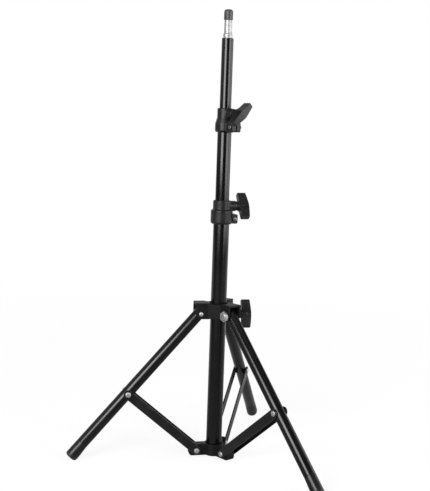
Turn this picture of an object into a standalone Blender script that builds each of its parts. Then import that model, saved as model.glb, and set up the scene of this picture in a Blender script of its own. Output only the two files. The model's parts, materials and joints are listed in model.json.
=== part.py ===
"""Three-section light stand with a folding tripod, modelled in metres with +Z up.

The origin is on the column's axis, at the flat underside of the plug that closes its lower end.
The stand is shown spread, with both inner tubes part way out.
"""

import math

import bmesh
import bpy
from mathutils import Matrix, Vector

MM = 0.001

# Clearance between pieces that touch
GAP = 0.3 * MM

# Column, the outer tube
COLUMN_R = 11.5 * MM
COLUMN_WALL = 1.2 * MM
COLUMN_LENGTH = 360.0 * MM
COLUMN_FOOT = 2.0 * MM

# Middle tube and its reach above the column
MID_WALL = 1.0 * MM
MID_LENGTH = 330.0 * MM
MID_OUT = 130.0 * MM

# Top tube and its reach above the middle tube
TOP_R = 8.25 * MM
TOP_WALL = 1.0 * MM
TOP_LENGTH = 330.0 * MM
TOP_OUT = 111.5 * MM

# Plugs in the tubes' lower ends
PLUG_FLANGE = 2.0 * MM
PLUG_DEPTH = 12.0 * MM

# Clamp collars
COLLAR_HEIGHT = 34.0 * MM
COLLAR_UPPER_RING = 12.9 * MM
COLLAR_UPPER_WALL = 2.6 * MM
MID_COLLAR_LOWER_WALL = 4.0 * MM
TOP_COLLAR_LOWER_WALL = 3.5 * MM
MID_COLLAR_SHOULDER = 1.6 * MM
TOP_COLLAR_SHOULDER = 9.0 * MM
COLLAR_BOTTOM_CHAMFER = 2.2 * MM
COLLAR_SCREW_DROP = 8.3 * MM
COLLAR_SEAT_DROP = 7.0 * MM
BOSS_R = 7.5 * MM
MID_BOSS_LENGTH = 7.7 * MM
TOP_BOSS_LENGTH = 9.0 * MM
SLIT = 1.6 * MM
EAR_WIDTH = 15.6 * MM
EAR_HEIGHT = 13.5 * MM
EAR_LIFT = 0.8 * MM
MID_EAR_REACH = 22.0 * MM
TOP_EAR_REACH = 25.0 * MM
EAR_SCREW_R = 1.5 * MM
EAR_SCREW_INSET = 4.6 * MM
EAR_HEAD_R = 2.9 * MM
EAR_HEAD = 2.0 * MM
EAR_NUT_FLATS = 5.5 * MM
EAR_NUT = 2.4 * MM

# Clamp knobs
KNOB_SPAN = 41.4 * MM
KNOB_DEPTH = 13.6 * MM
KNOB_TIP_DEPTH = 12.0 * MM
KNOB_THICKNESS = 7.6 * MM
KNOB_MIDWING = 9.6 * MM
KNOB_HUB_R = 6.4 * MM
KNOB_STEM_R = 6.6 * MM
KNOB_STEM = 5.0 * MM
KNOB_SCREW_R = 3.0 * MM
KNOB_SOCKET = 12.0 * MM
KNOB_NUT_FLATS = 10.0 * MM
KNOB_NUT = 5.0 * MM
MID_KNOB_AZIMUTH = math.radians(19.0)
TOP_KNOB_AZIMUTH = math.radians(-48.0)
HUB_KNOB_AZIMUTH = math.radians(12.4)
MID_KNOB_TURN = math.radians(-36.0)
TOP_KNOB_TURN = math.radians(-47.0)
HUB_KNOB_TURN = math.radians(-17.0)

# Spigot and its cap
SPIGOT_R = 5.4 * MM
SPIGOT_BASE_R = 6.4 * MM
SPIGOT_BASE = 5.5 * MM
SPIGOT_LENGTH = 24.6 * MM
SPIGOT_TANG = 16.0 * MM
SPIGOT_STUD_R = 3.1 * MM
SPIGOT_STUD = 9.5 * MM
CAP_R = 6.3 * MM
CAP_LENGTH = 14.2 * MM
CAP_CHAMFER = 2.2 * MM

# Folding legs: the leg turns on the hub, the brace on the lower spider, and a rivet joins the two
LEG_COUNT = 3
FIRST_LEG_AZIMUTH = math.radians(-47.6)
LEG_SPREAD = math.radians(41.2)
PIVOT_RADIUS = 27.5 * MM
LEG_TO_RIVET = 156.0 * MM
BRACE_LENGTH = 135.0 * MM
LEG_LENGTH = 279.0 * MM
LEG_FOLDED_LEAN = math.radians(0.45)
LEG_R = 8.5 * MM
LEG_WALL = 1.0 * MM
LEG_ABOVE_PIVOT = 7.0 * MM

# Feet
FOOT_LENGTH = 28.0 * MM
FOOT_FLARE = 20.0 * MM
FOOT_HEEL = 1.2 * MM
FOOT_EDGE = 3.2 * MM
FOOT_TANG = 16.0 * MM
FOOT_FLAT_DEPTH = 0.6 * MM

# Brace straps and rivets
STRAP_WIDTH = 13.0 * MM
STRAP_THICKNESS = 2.0 * MM
RIVET_R = 2.2 * MM
LEG_RIVET_HEAD_R = 4.0 * MM
SPIDER_RIVET_HEAD_R = 3.9 * MM
RIVET_HEAD = 1.5 * MM

# Lower spider
SPIDER_PIVOT_HEIGHT = 8.5 * MM
SPIDER_HEIGHT = 17.0 * MM
SPIDER_RING_WALL = 2.9 * MM
SPIDER_ARM_NOSE = 10.4 * MM
SPIDER_HEEL = 3.8 * MM

# Sliding hub
HUB_BELOW_PIVOT = 7.7 * MM
HUB_ABOVE_PIVOT = 15.8 * MM
HUB_RING_STEP = 0.8 * MM
HUB_RING_WALL = 2.6 * MM
HUB_CHEEK = 2.8 * MM
HUB_ROOF = 3.0 * MM
HUB_ARM_STEP_RADIUS = 18.5 * MM
HUB_WEB_REACH = 18.4 * MM
HUB_BOSS_REACH = 29.4 * MM
HUB_BOSS_WIDTH = 16.0 * MM
HUB_BOSS_TOP = 10.5 * MM
HUB_SCREW_DROP = 2.0 * MM
CHEEK_CLEARANCE = 0.4 * MM
BOLT_R = 2.9 * MM
BOLT_HEAD_R = 3.4 * MM
BOLT_HEAD = 2.2 * MM
PIVOT_NUT_FLATS = 13.6 * MM
PIVOT_NUT = 3.4 * MM
PIVOT_NUT_DOME = 1.2 * MM

# Roundness of the turned shapes
TUBE_STEPS = 32
SMALL_STEPS = 16
HOLE_STEPS = 12

# Sizes that follow from the ones above
COLUMN_BORE = COLUMN_R - COLUMN_WALL
COLUMN_TOP = COLUMN_FOOT + COLUMN_LENGTH
MID_R = COLUMN_BORE - GAP
MID_BORE = MID_R - MID_WALL
MID_TOP = COLUMN_TOP + MID_OUT
TOP_BORE = TOP_R - TOP_WALL
TOP_TOP = MID_TOP + TOP_OUT
BRACE_SPREAD = math.asin(LEG_TO_RIVET * math.sin(LEG_SPREAD) / BRACE_LENGTH)
HUB_PIVOT_HEIGHT = (SPIDER_PIVOT_HEIGHT + LEG_TO_RIVET * math.cos(LEG_SPREAD)
                    + BRACE_LENGTH * math.cos(BRACE_SPREAD))
FOLD_RATIO = (LEG_SPREAD - LEG_FOLDED_LEAN) / BRACE_SPREAD
GROUND = (HUB_PIVOT_HEIGHT - (LEG_LENGTH - FOOT_EDGE) * math.cos(LEG_SPREAD)
          - (LEG_R + FOOT_HEEL - FOOT_EDGE) * math.sin(LEG_SPREAD) - FOOT_EDGE + FOOT_FLAT_DEPTH)


def hub_drift():
    """Farthest that the hub moves sideways while brace and leg fold at one constant ratio."""
    farthest = 0.0
    for step in range(201):
        fold = BRACE_SPREAD * step / 200
        out = BRACE_LENGTH * math.sin(BRACE_SPREAD - fold)
        back = LEG_TO_RIVET * math.sin(LEG_SPREAD - FOLD_RATIO * fold)
        farthest = max(farthest, abs(out - back))
    return farthest


DRIFT = hub_drift()
HUB_BORE = COLUMN_R + DRIFT + GAP
HUB_RING_R = HUB_BORE + HUB_RING_WALL
CHEEK_INNER = LEG_R + CHEEK_CLEARANCE
CHEEK_OUTER = CHEEK_INNER + HUB_CHEEK
STRAP_INNER = LEG_R + GAP
STRAP_OUTER = STRAP_INNER + STRAP_THICKNESS
KNUCKLE_HALF = STRAP_INNER - GAP - DRIFT * math.sin(math.radians(60))
SPIDER_BORE = COLUMN_R + GAP
SPIDER_RING_R = SPIDER_BORE + SPIDER_RING_WALL

BLACK_PAINT = ((0.012, 0.012, 0.013), 0.22, 0.0)
BLACK_PLASTIC = ((0.016, 0.016, 0.017), 0.5, 0.0)
RUBBER = ((0.02, 0.02, 0.02), 0.85, 0.0)
BLACK_STEEL = ((0.05, 0.05, 0.052), 0.35, 0.9)
BRIGHT_STEEL = ((0.78, 0.78, 0.77), 0.22, 1.0)


def clear_scene():
    for obj in list(bpy.data.objects):
        bpy.data.objects.remove(obj, do_unlink=True)


def paint(obj, finish):
    """Gives the object a material of its own."""
    color, roughness, metallic = finish
    material = bpy.data.materials.new(obj.name)
    material.use_nodes = True
    shader = material.node_tree.nodes["Principled BSDF"]
    shader.inputs["Base Color"].default_value = (*color, 1.0)
    shader.inputs["Roughness"].default_value = roughness
    shader.inputs["Metallic"].default_value = metallic
    obj.data.materials.append(material)


def finish_mesh(name, bm, finish=None, parent=None, place=None):
    """Turns a bmesh into an object; without a finish it is a form that only shapes others."""
    bmesh.ops.recalc_face_normals(bm, faces=bm.faces)
    mesh = bpy.data.meshes.new(name)
    bm.to_mesh(mesh)
    bm.free()
    mesh.shade_smooth()
    mesh.set_sharp_from_angle(angle=math.radians(35))
    obj = bpy.data.objects.new(name, mesh)
    bpy.context.scene.collection.objects.link(obj)
    obj.parent = parent
    if place is not None:
        obj.matrix_local = place
    if finish is None:
        obj.hide_render = True
        obj.display_type = 'WIRE'
    else:
        paint(obj, finish)
    return obj


def axis_empty(name, place, parent=None):
    """An empty on a joint's axis, which carries the pieces that turn or slide with it."""
    empty = bpy.data.objects.new(name, None)
    empty.empty_display_size = 0.02
    bpy.context.scene.collection.objects.link(empty)
    empty.parent = parent
    empty.matrix_local = place
    return empty


def at(x=0.0, y=0.0, z=0.0):
    return Matrix.Translation((x, y, z))


def turn(angle, axis):
    return Matrix.Rotation(angle, 4, axis)


def arc(center, radius, start, end, steps):
    """Points on an arc in a plane, from start to end in degrees."""
    points = []
    for step in range(steps + 1):
        angle = math.radians(start + (end - start) * step / steps)
        points.append((center[0] + radius * math.cos(angle), center[1] + radius * math.sin(angle)))
    return points


def turned_mesh(profile, steps, closed=False):
    """Spins a profile of (radius, height) points about Z; a closed profile makes a ring."""
    bm = bmesh.new()
    verts = [bm.verts.new((radius, 0.0, height)) for radius, height in profile]
    edges = [bm.edges.new(pair) for pair in zip(verts, verts[1:])]
    if closed:
        edges.append(bm.edges.new((verts[-1], verts[0])))
    bmesh.ops.spin(bm, geom=verts + edges, cent=(0, 0, 0), axis=(0, 0, 1), angle=2 * math.pi,
                   steps=steps, use_merge=True)
    bmesh.ops.remove_doubles(bm, verts=bm.verts, dist=1e-7)
    return bm


def rod_mesh(radius, low, high, steps=SMALL_STEPS, chamfer=0.0):
    """A solid round bar along Z, with both ends chamfered if asked."""
    profile = [(0.0, high)]
    if chamfer:
        profile += [(radius - chamfer, high), (radius, high - chamfer)]
        profile += [(radius, low + chamfer), (radius - chamfer, low)]
    else:
        profile += [(radius, high), (radius, low)]
    profile.append((0.0, low))
    return turned_mesh(profile, steps)


def tube_mesh(outer, inner, low, high, steps=TUBE_STEPS):
    profile = [(outer, high), (outer, low), (inner, low), (inner, high)]
    return turned_mesh(profile, steps, closed=True)


def drill_mesh(radius, low, high):
    """A form for a round hole along Z; its flats touch the named radius from outside."""
    return turned_mesh([(0.0, high), (radius, high), (radius, low), (0.0, low)], HOLE_STEPS)


def prism_mesh(outline, low, high, axis='Y'):
    """Extrudes a closed outline of (x, z) points along Y, or of (x, y) points along Z."""
    bm = bmesh.new()
    if axis == 'Y':
        verts = [bm.verts.new((a, low, b)) for a, b in outline]
        way = Vector((0.0, high - low, 0.0))
    else:
        verts = [bm.verts.new((a, b, low)) for a, b in outline]
        way = Vector((0.0, 0.0, high - low))
    face = bm.faces.new(verts)
    grown = bmesh.ops.extrude_face_region(bm, geom=[face])
    moved = [item for item in grown["geom"] if isinstance(item, bmesh.types.BMVert)]
    bmesh.ops.translate(bm, verts=moved, vec=way)
    return bm


def box_mesh(low, high):
    outline = [(low[0], low[1]), (high[0], low[1]), (high[0], high[1]), (low[0], high[1])]
    return prism_mesh(outline, low[2], high[2], axis='Z')


def hexagon(flats):
    radius = flats / math.sqrt(3)
    return [(radius * math.cos(math.radians(60 * side)), radius * math.sin(math.radians(60 * side)))
            for side in range(6)]


def soften(obj, width, segments=2, angle=40.0):
    bevel = obj.modifiers.new("soft_edges", 'BEVEL')
    bevel.width = width
    bevel.segments = segments
    bevel.limit_method = 'ANGLE'
    bevel.angle_limit = math.radians(angle)
    bevel.use_clamp_overlap = True


def combine(obj, forms, operation):
    """Adds one Boolean step that takes all the forms at once."""
    group = bpy.data.collections.new(f"{obj.name}_{operation.lower()}")
    bpy.context.scene.collection.children.link(group)
    for form in forms:
        bpy.context.scene.collection.objects.unlink(form)
        group.objects.link(form)
    step = obj.modifiers.new(group.name, 'BOOLEAN')
    step.operation = operation
    step.solver = 'EXACT'
    step.operand_type = 'COLLECTION'
    step.collection = group


def cut(obj, *forms):
    combine(obj, forms, 'DIFFERENCE')


def join(obj, *forms):
    combine(obj, forms, 'UNION')


def keep_within(obj, form):
    combine(obj, [form], 'INTERSECT')


def radial(azimuth, radius=0.0, height=0.0):
    """A place whose +X points outwards at the azimuth and whose +Y points along the tangent."""
    return turn(azimuth, 'Z') @ at(radius, 0.0, height)


def along_x():
    """Turns a shape made along Z so that it lies along +X."""
    return turn(math.radians(90), 'Y')


def along_y():
    """Turns a shape made along Z so that it lies along +Y."""
    return turn(math.radians(-90), 'X')


def leg_azimuth(number):
    return FIRST_LEG_AZIMUTH + 2 * math.pi * number / LEG_COUNT


def plug(name, radius, bore, end, flange, depth, finish, parent=None, drop=PLUG_FLANGE):
    """A stepped plug: a flange under a tube's end and a plain part up its bore."""
    inner = bore - GAP
    profile = [(0.0, end + depth), (inner, end + depth), (inner, end - GAP), (flange, end - GAP)]
    profile += [(flange, end - drop), (0.0, end - drop)]
    return finish_mesh(name, turned_mesh(profile, TUBE_STEPS), finish, parent)


def column():
    finish_mesh("column_tube", tube_mesh(COLUMN_R, COLUMN_BORE, COLUMN_FOOT, COLUMN_TOP), BLACK_PAINT)
    plug("column_end_plug", COLUMN_R, COLUMN_BORE, COLUMN_FOOT, COLUMN_R, PLUG_DEPTH, BLACK_PLASTIC,
         drop=COLUMN_FOOT)


def spider_arm_outline():
    """Side view of a spider arm: flat underside, rounded nose about the pivot."""
    nose = PIVOT_RADIUS + SPIDER_ARM_NOSE
    root = SPIDER_RING_R - 2.0 * MM
    outline = [(root, 0.0), (nose - SPIDER_HEEL, 0.0)]
    outline += arc((nose - SPIDER_HEEL, SPIDER_HEEL), SPIDER_HEEL, -75, 0, 3)
    upper = SPIDER_HEIGHT - SPIDER_PIVOT_HEIGHT
    outline += arc((nose - upper, SPIDER_PIVOT_HEIGHT), upper, 0, 90, 6)
    outline.append((root, SPIDER_HEIGHT))
    return outline


def lower_spider():
    """The ring at the column's foot, with three solid arms that carry the braces' lower rivets."""
    ring = [(0.0, SPIDER_HEIGHT), (SPIDER_RING_R - 0.8 * MM, SPIDER_HEIGHT)]
    ring += [(SPIDER_RING_R, SPIDER_HEIGHT - 0.8 * MM), (SPIDER_RING_R, 0.6 * MM)]
    ring += [(SPIDER_RING_R - 0.6 * MM, 0.0), (0.0, 0.0)]
    spider = finish_mesh("lower_spider", turned_mesh(ring, TUBE_STEPS), BLACK_PLASTIC)
    arms = []
    holes = []
    for number in range(LEG_COUNT):
        arm = finish_mesh(f"spider_arm_form_{number + 1}",
                          prism_mesh(spider_arm_outline(), -KNUCKLE_HALF, KNUCKLE_HALF),
                          place=radial(leg_azimuth(number)))
        soften(arm, 1.4 * MM, 1)
        arms.append(arm)
        holes.append(spider_hole_form(number))
    bore = finish_mesh("spider_bore_form",
                       rod_mesh(SPIDER_BORE, -1.0 * MM, SPIDER_HEIGHT + 1.0 * MM, TUBE_STEPS))
    join(spider, *arms)
    cut(spider, bore, *holes)
    return spider


def spider_hole_form(number):
    """The first arm has a round hole; the others have slots, where the closed linkage is open."""
    hole = RIVET_R + GAP
    travel = 0.0 if number == 0 else 1.5 * DRIFT
    outline = arc((travel, 0.0), hole, -90, 90, 6) + arc((-travel, 0.0), hole, 90, 270, 6)
    if travel == 0.0:
        outline = arc((0.0, 0.0), hole, 0, 360, HOLE_STEPS)[:-1]
    place = radial(leg_azimuth(number), PIVOT_RADIUS, SPIDER_PIVOT_HEIGHT)
    return finish_mesh(f"spider_hole_form_{number + 1}",
                       prism_mesh(outline, -KNUCKLE_HALF - MM, KNUCKLE_HALF + MM), place=place)


def collar(name, azimuth, lower_r, upper_r, lower_wall, shoulder, reach, boss_length, tube_end,
           parent=None):
    """A clamp collar: a split lower ring on the outer tube, a whole upper ring round the inner one."""
    low_bore = lower_r + GAP
    high_bore = upper_r + GAP
    low_outer = low_bore + lower_wall
    high_outer = high_bore + COLLAR_UPPER_WALL
    screw_height = tube_end + COLLAR_SEAT_DROP
    top = screw_height + COLLAR_SCREW_DROP
    bottom = top - COLLAR_HEIGHT
    step = top - COLLAR_UPPER_RING
    profile = [(0.0, top), (high_outer - 1.0 * MM, top), (high_outer, top - 1.0 * MM)]
    profile += [(high_outer, step), (low_outer, step - shoulder)]
    profile.append((low_outer, bottom + COLLAR_BOTTOM_CHAMFER))
    profile += [(low_outer - COLLAR_BOTTOM_CHAMFER * 0.8, bottom), (0.0, bottom)]
    body = finish_mesh(name, turned_mesh(profile, TUBE_STEPS), BLACK_PLASTIC, parent)

    across = radial(azimuth, 0.0, screw_height) @ along_x()
    ears = finish_mesh(f"{name}_ear_form", ear_mesh(lower_r, reach), parent=parent,
                       place=radial(azimuth, 0.0, bottom + EAR_LIFT))
    soften(ears, 1.0 * MM, 1)
    face = high_outer + boss_length
    boss = rod_mesh(BOSS_R, 0.5 * upper_r, face, 24, 0.8 * MM)
    join(body, ears, finish_mesh(f"{name}_boss_form", boss, parent=parent, place=across))

    seat = tube_end + GAP
    bores = [(0.0, top + MM), (high_bore, top + MM), (high_bore, seat), (low_bore, seat)]
    bores += [(low_bore, bottom - MM), (0.0, bottom - MM)]
    bore = finish_mesh(f"{name}_bore_form", turned_mesh(bores, TUBE_STEPS), parent=parent)
    slit = box_mesh((0.5 * low_bore, -0.5 * SLIT, bottom - MM), (reach + MM, 0.5 * SLIT, step - shoulder))
    screw_hole = drill_mesh(KNOB_SCREW_R + GAP, 0.6 * upper_r, face + MM)
    pocket = prism_mesh(hexagon(KNOB_NUT_FLATS + 2 * GAP), 0.5 * upper_r,
                        high_bore + KNOB_NUT + 2 * GAP, axis='Z')
    ear_place = radial(azimuth, reach - EAR_SCREW_INSET, bottom + EAR_LIFT + 0.5 * EAR_HEIGHT)
    ear_hole = drill_mesh(EAR_SCREW_R + GAP, -EAR_WIDTH, EAR_WIDTH)
    cut(body, bore,
        finish_mesh(f"{name}_slit_form", slit, parent=parent, place=radial(azimuth)),
        finish_mesh(f"{name}_screw_hole_form", screw_hole, parent=parent, place=across),
        finish_mesh(f"{name}_nut_pocket_form", pocket, parent=parent, place=across),
        finish_mesh(f"{name}_ear_hole_form", ear_hole, parent=parent, place=ear_place @ along_y()))

    knob_nut(f"{name.split('_')[0]}_knob_nut", azimuth, high_bore, screw_height, parent)
    ear_screw(f"{name}_screw", ear_place, parent)
    ear_nut(f"{name}_nut", ear_place, parent)
    return screw_height, face


def ear_mesh(lower_r, reach):
    """The two ears in one block, which the slit parts; the outer end is well rounded below."""
    root = lower_r + 1.5 * MM
    corner = 3.0 * MM
    outline = [(root, 0.0), (reach - corner, 0.0)]
    outline += arc((reach - corner, corner), corner, -60, 0, 3)
    outline += [(reach, EAR_HEIGHT), (root, EAR_HEIGHT)]
    return prism_mesh(outline, -0.5 * EAR_WIDTH, 0.5 * EAR_WIDTH)


def ear_screw(name, place, parent):
    """A pan head screw through both ears, its head on the clockwise side."""
    face = 0.5 * EAR_WIDTH + GAP
    end = face + EAR_NUT + 0.6 * MM
    profile = [(0.0, end), (EAR_SCREW_R - 0.3 * MM, end), (EAR_SCREW_R, end - 0.4 * MM)]
    profile += [(EAR_SCREW_R, -face), (EAR_HEAD_R, -face), (EAR_HEAD_R, -face - 0.5 * EAR_HEAD)]
    profile += [(0.78 * EAR_HEAD_R, -face - 0.87 * EAR_HEAD), (0.35 * EAR_HEAD_R, -face - EAR_HEAD)]
    profile.append((0.0, -face - EAR_HEAD))
    screw = finish_mesh(name, turned_mesh(profile, SMALL_STEPS), BLACK_STEEL, parent, place @ along_y())
    arm = 0.55 * EAR_HEAD_R
    half = 0.35 * MM
    recess = []
    for number, spread in enumerate(((arm, half), (half, arm))):
        slot = box_mesh((-spread[0], -spread[1], -face - 2 * EAR_HEAD),
                        (spread[0], spread[1], -face - 0.45 * EAR_HEAD))
        recess.append(finish_mesh(f"{name}_recess_form_{number + 1}", slot, parent=parent,
                                  place=place @ along_y()))
    cut(screw, *recess)


def hex_nut(name, flats, thickness, hole, base, finish, parent, place):
    """A hexagon nut, its upper face at base + thickness along Z."""
    nut = finish_mesh(name, prism_mesh(hexagon(flats), base, base + thickness, axis='Z'), finish, parent,
                      place)
    drill = drill_mesh(hole, base - thickness, base + 2 * thickness)
    cut(nut, finish_mesh(f"{name}_drill_form", drill, parent=parent, place=place))
    return nut


def locking_nut(name, flats, thickness, dome, hole, base, finish, parent, place):
    """A hexagon nut with rounded corners; the dome is its round locking collar, below the lower face."""
    wide = 0.62 * flats
    blank = turned_mesh([(0.0, base + thickness), (0.5 * flats, base + thickness),
                         (wide, base + 0.75 * thickness), (wide, base + 0.25 * thickness),
                         (0.5 * flats, base), (0.0, base)], SMALL_STEPS)
    nut = finish_mesh(name, prism_mesh(hexagon(flats), base - MM, base + thickness + MM, axis='Z'),
                      finish, parent, place)
    half_step = turn(math.pi / SMALL_STEPS, 'Z')
    keep_within(nut, finish_mesh(f"{name}_corner_form", blank, parent=parent, place=place @ half_step))
    radius = 0.4 * flats
    collar_form = turned_mesh([(0.0, base + 0.5 * thickness), (radius, base + 0.5 * thickness),
                               (radius, base - 0.6 * dome), (0.85 * radius, base - dome),
                               (0.0, base - dome)], SMALL_STEPS)
    join(nut, finish_mesh(f"{name}_collar_form", collar_form, parent=parent, place=place))
    drill = drill_mesh(hole, base - dome - thickness, base + 2 * thickness)
    cut(nut, finish_mesh(f"{name}_drill_form", drill, parent=parent, place=place))
    return nut


def ear_nut(name, place, parent):
    hex_nut(name, EAR_NUT_FLATS, EAR_NUT, EAR_SCREW_R + GAP, 0.5 * EAR_WIDTH + GAP, BLACK_STEEL,
            parent, place @ along_y())


def knob_nut(name, azimuth, bore, height, parent):
    """The hexagon nut that takes the knob's screw, held in its pocket by the inner tube."""
    hex_nut(name, KNOB_NUT_FLATS, KNOB_NUT, KNOB_SCREW_R + GAP, bore + GAP, BRIGHT_STEEL, parent,
            radial(azimuth, 0.0, height) @ along_x())


def knob_side_outline():
    """Side view of the T: flat inner faces, outer face bowed like a shallow roof."""
    half = 0.5 * KNOB_SPAN
    inner = KNOB_STEM
    outline = [(inner, -half), (inner + KNOB_TIP_DEPTH, -half)]
    bow = KNOB_DEPTH - KNOB_TIP_DEPTH
    for step in range(1, 8):
        share = -1.0 + step / 4.0
        outline.append((inner + KNOB_TIP_DEPTH + bow * math.cos(0.5 * math.pi * share) ** 0.8, half * share))
    outline += [(inner + KNOB_TIP_DEPTH, half), (inner, half), (inner, KNOB_STEM_R)]
    outline += [(0.55 * inner, 0.75 * KNOB_STEM_R), (0.55 * inner, -0.75 * KNOB_STEM_R)]
    outline.append((inner, -KNOB_STEM_R))
    return outline


def knob_end_outline():
    """End view of the T: a spindle, thick about the screw and thinner towards the wings' tips."""
    half = 0.5 * KNOB_SPAN
    tip = 0.5 * KNOB_THICKNESS
    wing = 0.5 * KNOB_MIDWING
    middle = 0.55 * half
    reach = math.degrees(math.atan2(middle, wing) - math.acos(KNOB_HUB_R / math.hypot(wing, middle)))
    side = [(tip - 0.8 * MM, -half), (tip, -half + 0.9 * MM), (wing, -middle)]
    side += arc((0.0, 0.0), KNOB_HUB_R, -reach, reach, 2)
    side += [(wing, middle), (tip, half - 0.9 * MM), (tip - 0.8 * MM, half)]
    return side + [(-y, -z) for y, z in side]


def knob(prefix, azimuth, height, inner_radius, tip_radius, turned_by, parent):
    """A T-shaped clamp knob and the steel screw fixed in it."""
    axis = axis_empty(f"{prefix}_knob_axis", radial(azimuth, inner_radius, height) @ turn(turned_by, 'X'),
                      parent)
    handle = finish_mesh(f"{prefix}_knob_handle",
                         prism_mesh(knob_side_outline(), -KNOB_HUB_R - MM, KNOB_HUB_R + MM), BLACK_PLASTIC,
                         axis)
    end_form = prism_mesh(knob_end_outline(), -2 * KNOB_DEPTH, 0.0, axis='Z')
    keep_within(handle, finish_mesh(f"{prefix}_knob_end_form", end_form, parent=axis,
                                    place=turn(math.radians(-90), 'Y') @ turn(math.radians(90), 'Z')))
    stem = rod_mesh(KNOB_STEM_R, 0.0, KNOB_STEM + 0.5 * KNOB_DEPTH, SMALL_STEPS, 0.5 * MM)
    join(handle, finish_mesh(f"{prefix}_knob_stem_form", stem, parent=axis, place=along_x()))
    socket = drill_mesh(KNOB_SCREW_R + GAP, -MM, KNOB_SOCKET)
    cut(handle, finish_mesh(f"{prefix}_knob_socket_form", socket, parent=axis, place=along_x()))
    screw = rod_mesh(KNOB_SCREW_R, tip_radius - inner_radius, KNOB_SOCKET - GAP, SMALL_STEPS, 0.6 * MM)
    finish_mesh(f"{prefix}_knob_screw", screw, BRIGHT_STEEL, axis, along_x())


def tubes():
    """The two inner tubes, each on an empty that its slide moves, with collar, plugs and spigot."""
    mid = axis_empty("mid_section_slide", at(0.0, 0.0, MID_TOP))
    lowered = -MID_TOP
    finish_mesh("mid_tube", tube_mesh(MID_R, MID_BORE, MID_TOP - MID_LENGTH, MID_TOP),
                BLACK_PAINT, mid, at(z=lowered))
    plug("mid_tube_end_plug", MID_R, MID_BORE, MID_TOP - MID_LENGTH, MID_R, PLUG_DEPTH, BLACK_PLASTIC,
         mid).matrix_local = at(z=lowered)
    top = axis_empty("top_section_slide", at(0.0, 0.0, TOP_TOP))
    lowered_top = -TOP_TOP
    finish_mesh("top_tube", tube_mesh(TOP_R, TOP_BORE, TOP_TOP - TOP_LENGTH, TOP_TOP), BLACK_PAINT, top,
                at(z=lowered_top))
    plug("top_tube_guide", TOP_R, TOP_BORE, TOP_TOP - TOP_LENGTH, MID_BORE - GAP, PLUG_DEPTH,
         BLACK_PLASTIC, top, drop=6.0 * MM).matrix_local = at(z=lowered_top)
    spigot(top, lowered_top)
    return mid


def spigot(parent, lowered):
    """The steel pin in the top tube, with a threaded end under a pull-off cap."""
    base = TOP_TOP + GAP
    shoulder = base + SPIGOT_LENGTH
    profile = [(0.0, shoulder + SPIGOT_STUD), (SPIGOT_STUD_R, shoulder + SPIGOT_STUD)]
    profile += [(SPIGOT_STUD_R, shoulder), (SPIGOT_R, shoulder)]
    profile += [(SPIGOT_R, base + SPIGOT_BASE + 1.0 * MM), (SPIGOT_BASE_R, base + SPIGOT_BASE)]
    profile += [(SPIGOT_BASE_R, base + 0.4 * MM), (SPIGOT_BASE_R + 0.6 * MM, base + 0.4 * MM)]
    profile += [(SPIGOT_BASE_R + 0.6 * MM, base), (TOP_BORE - GAP, base)]
    profile += [(TOP_BORE - GAP, base - SPIGOT_TANG), (0.0, base - SPIGOT_TANG)]
    finish_mesh("spigot", turned_mesh(profile, 24), BRIGHT_STEEL, parent, at(z=lowered))

    seat = shoulder + GAP
    top = seat + CAP_LENGTH
    roof = shoulder + SPIGOT_STUD + GAP
    cap = [(0.0, top), (0.5 * CAP_R, top), (CAP_R - CAP_CHAMFER * 0.7, top - 0.4 * MM)]
    cap += [(CAP_R - 0.3 * MM, top - CAP_CHAMFER), (CAP_R, top - CAP_CHAMFER - 0.8 * MM)]
    cap += [(CAP_R, seat), (SPIGOT_STUD_R + GAP, seat)]
    cap += [(SPIGOT_STUD_R + GAP, roof), (0.0, roof)]
    pull = axis_empty("spigot_cap_pull", at(z=seat + lowered), parent)
    finish_mesh("spigot_cap", turned_mesh(cap, 24), RUBBER, pull, at(z=-seat))


def hub_arm_outline():
    """Side view of a hub arm: rounded about the pivot below, stepped up from the ring above."""
    low = -HUB_BELOW_PIVOT
    high = HUB_ABOVE_PIVOT
    root = HUB_RING_R - 1.5 * MM
    outline = [(root, low)]
    outline += arc((PIVOT_RADIUS, 0.0), HUB_BELOW_PIVOT, -90, 0, 6)
    outline += [(PIVOT_RADIUS + HUB_BELOW_PIVOT, high), (HUB_ARM_STEP_RADIUS, high)]
    outline += [(HUB_ARM_STEP_RADIUS - HUB_RING_STEP, high - HUB_RING_STEP), (root, high - HUB_RING_STEP)]
    return outline


def hub_web_outline():
    """Plan of the web that fills the corner between one arm and the next."""
    deep = (HUB_RING_R - MM, CHEEK_INNER - 2.0 * MM)
    near = (HUB_WEB_REACH, CHEEK_OUTER - 0.5 * MM)
    onward = 2 * math.pi / LEG_COUNT
    outline = [deep, near]
    for x, y in (near, deep):
        outline.append((x * math.cos(onward) + y * math.sin(onward),
                        x * math.sin(onward) - y * math.cos(onward)))
    inner = HUB_RING_R - 2.0 * MM
    outline.append((inner * math.cos(0.5 * onward), inner * math.sin(0.5 * onward)))
    return outline


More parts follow.
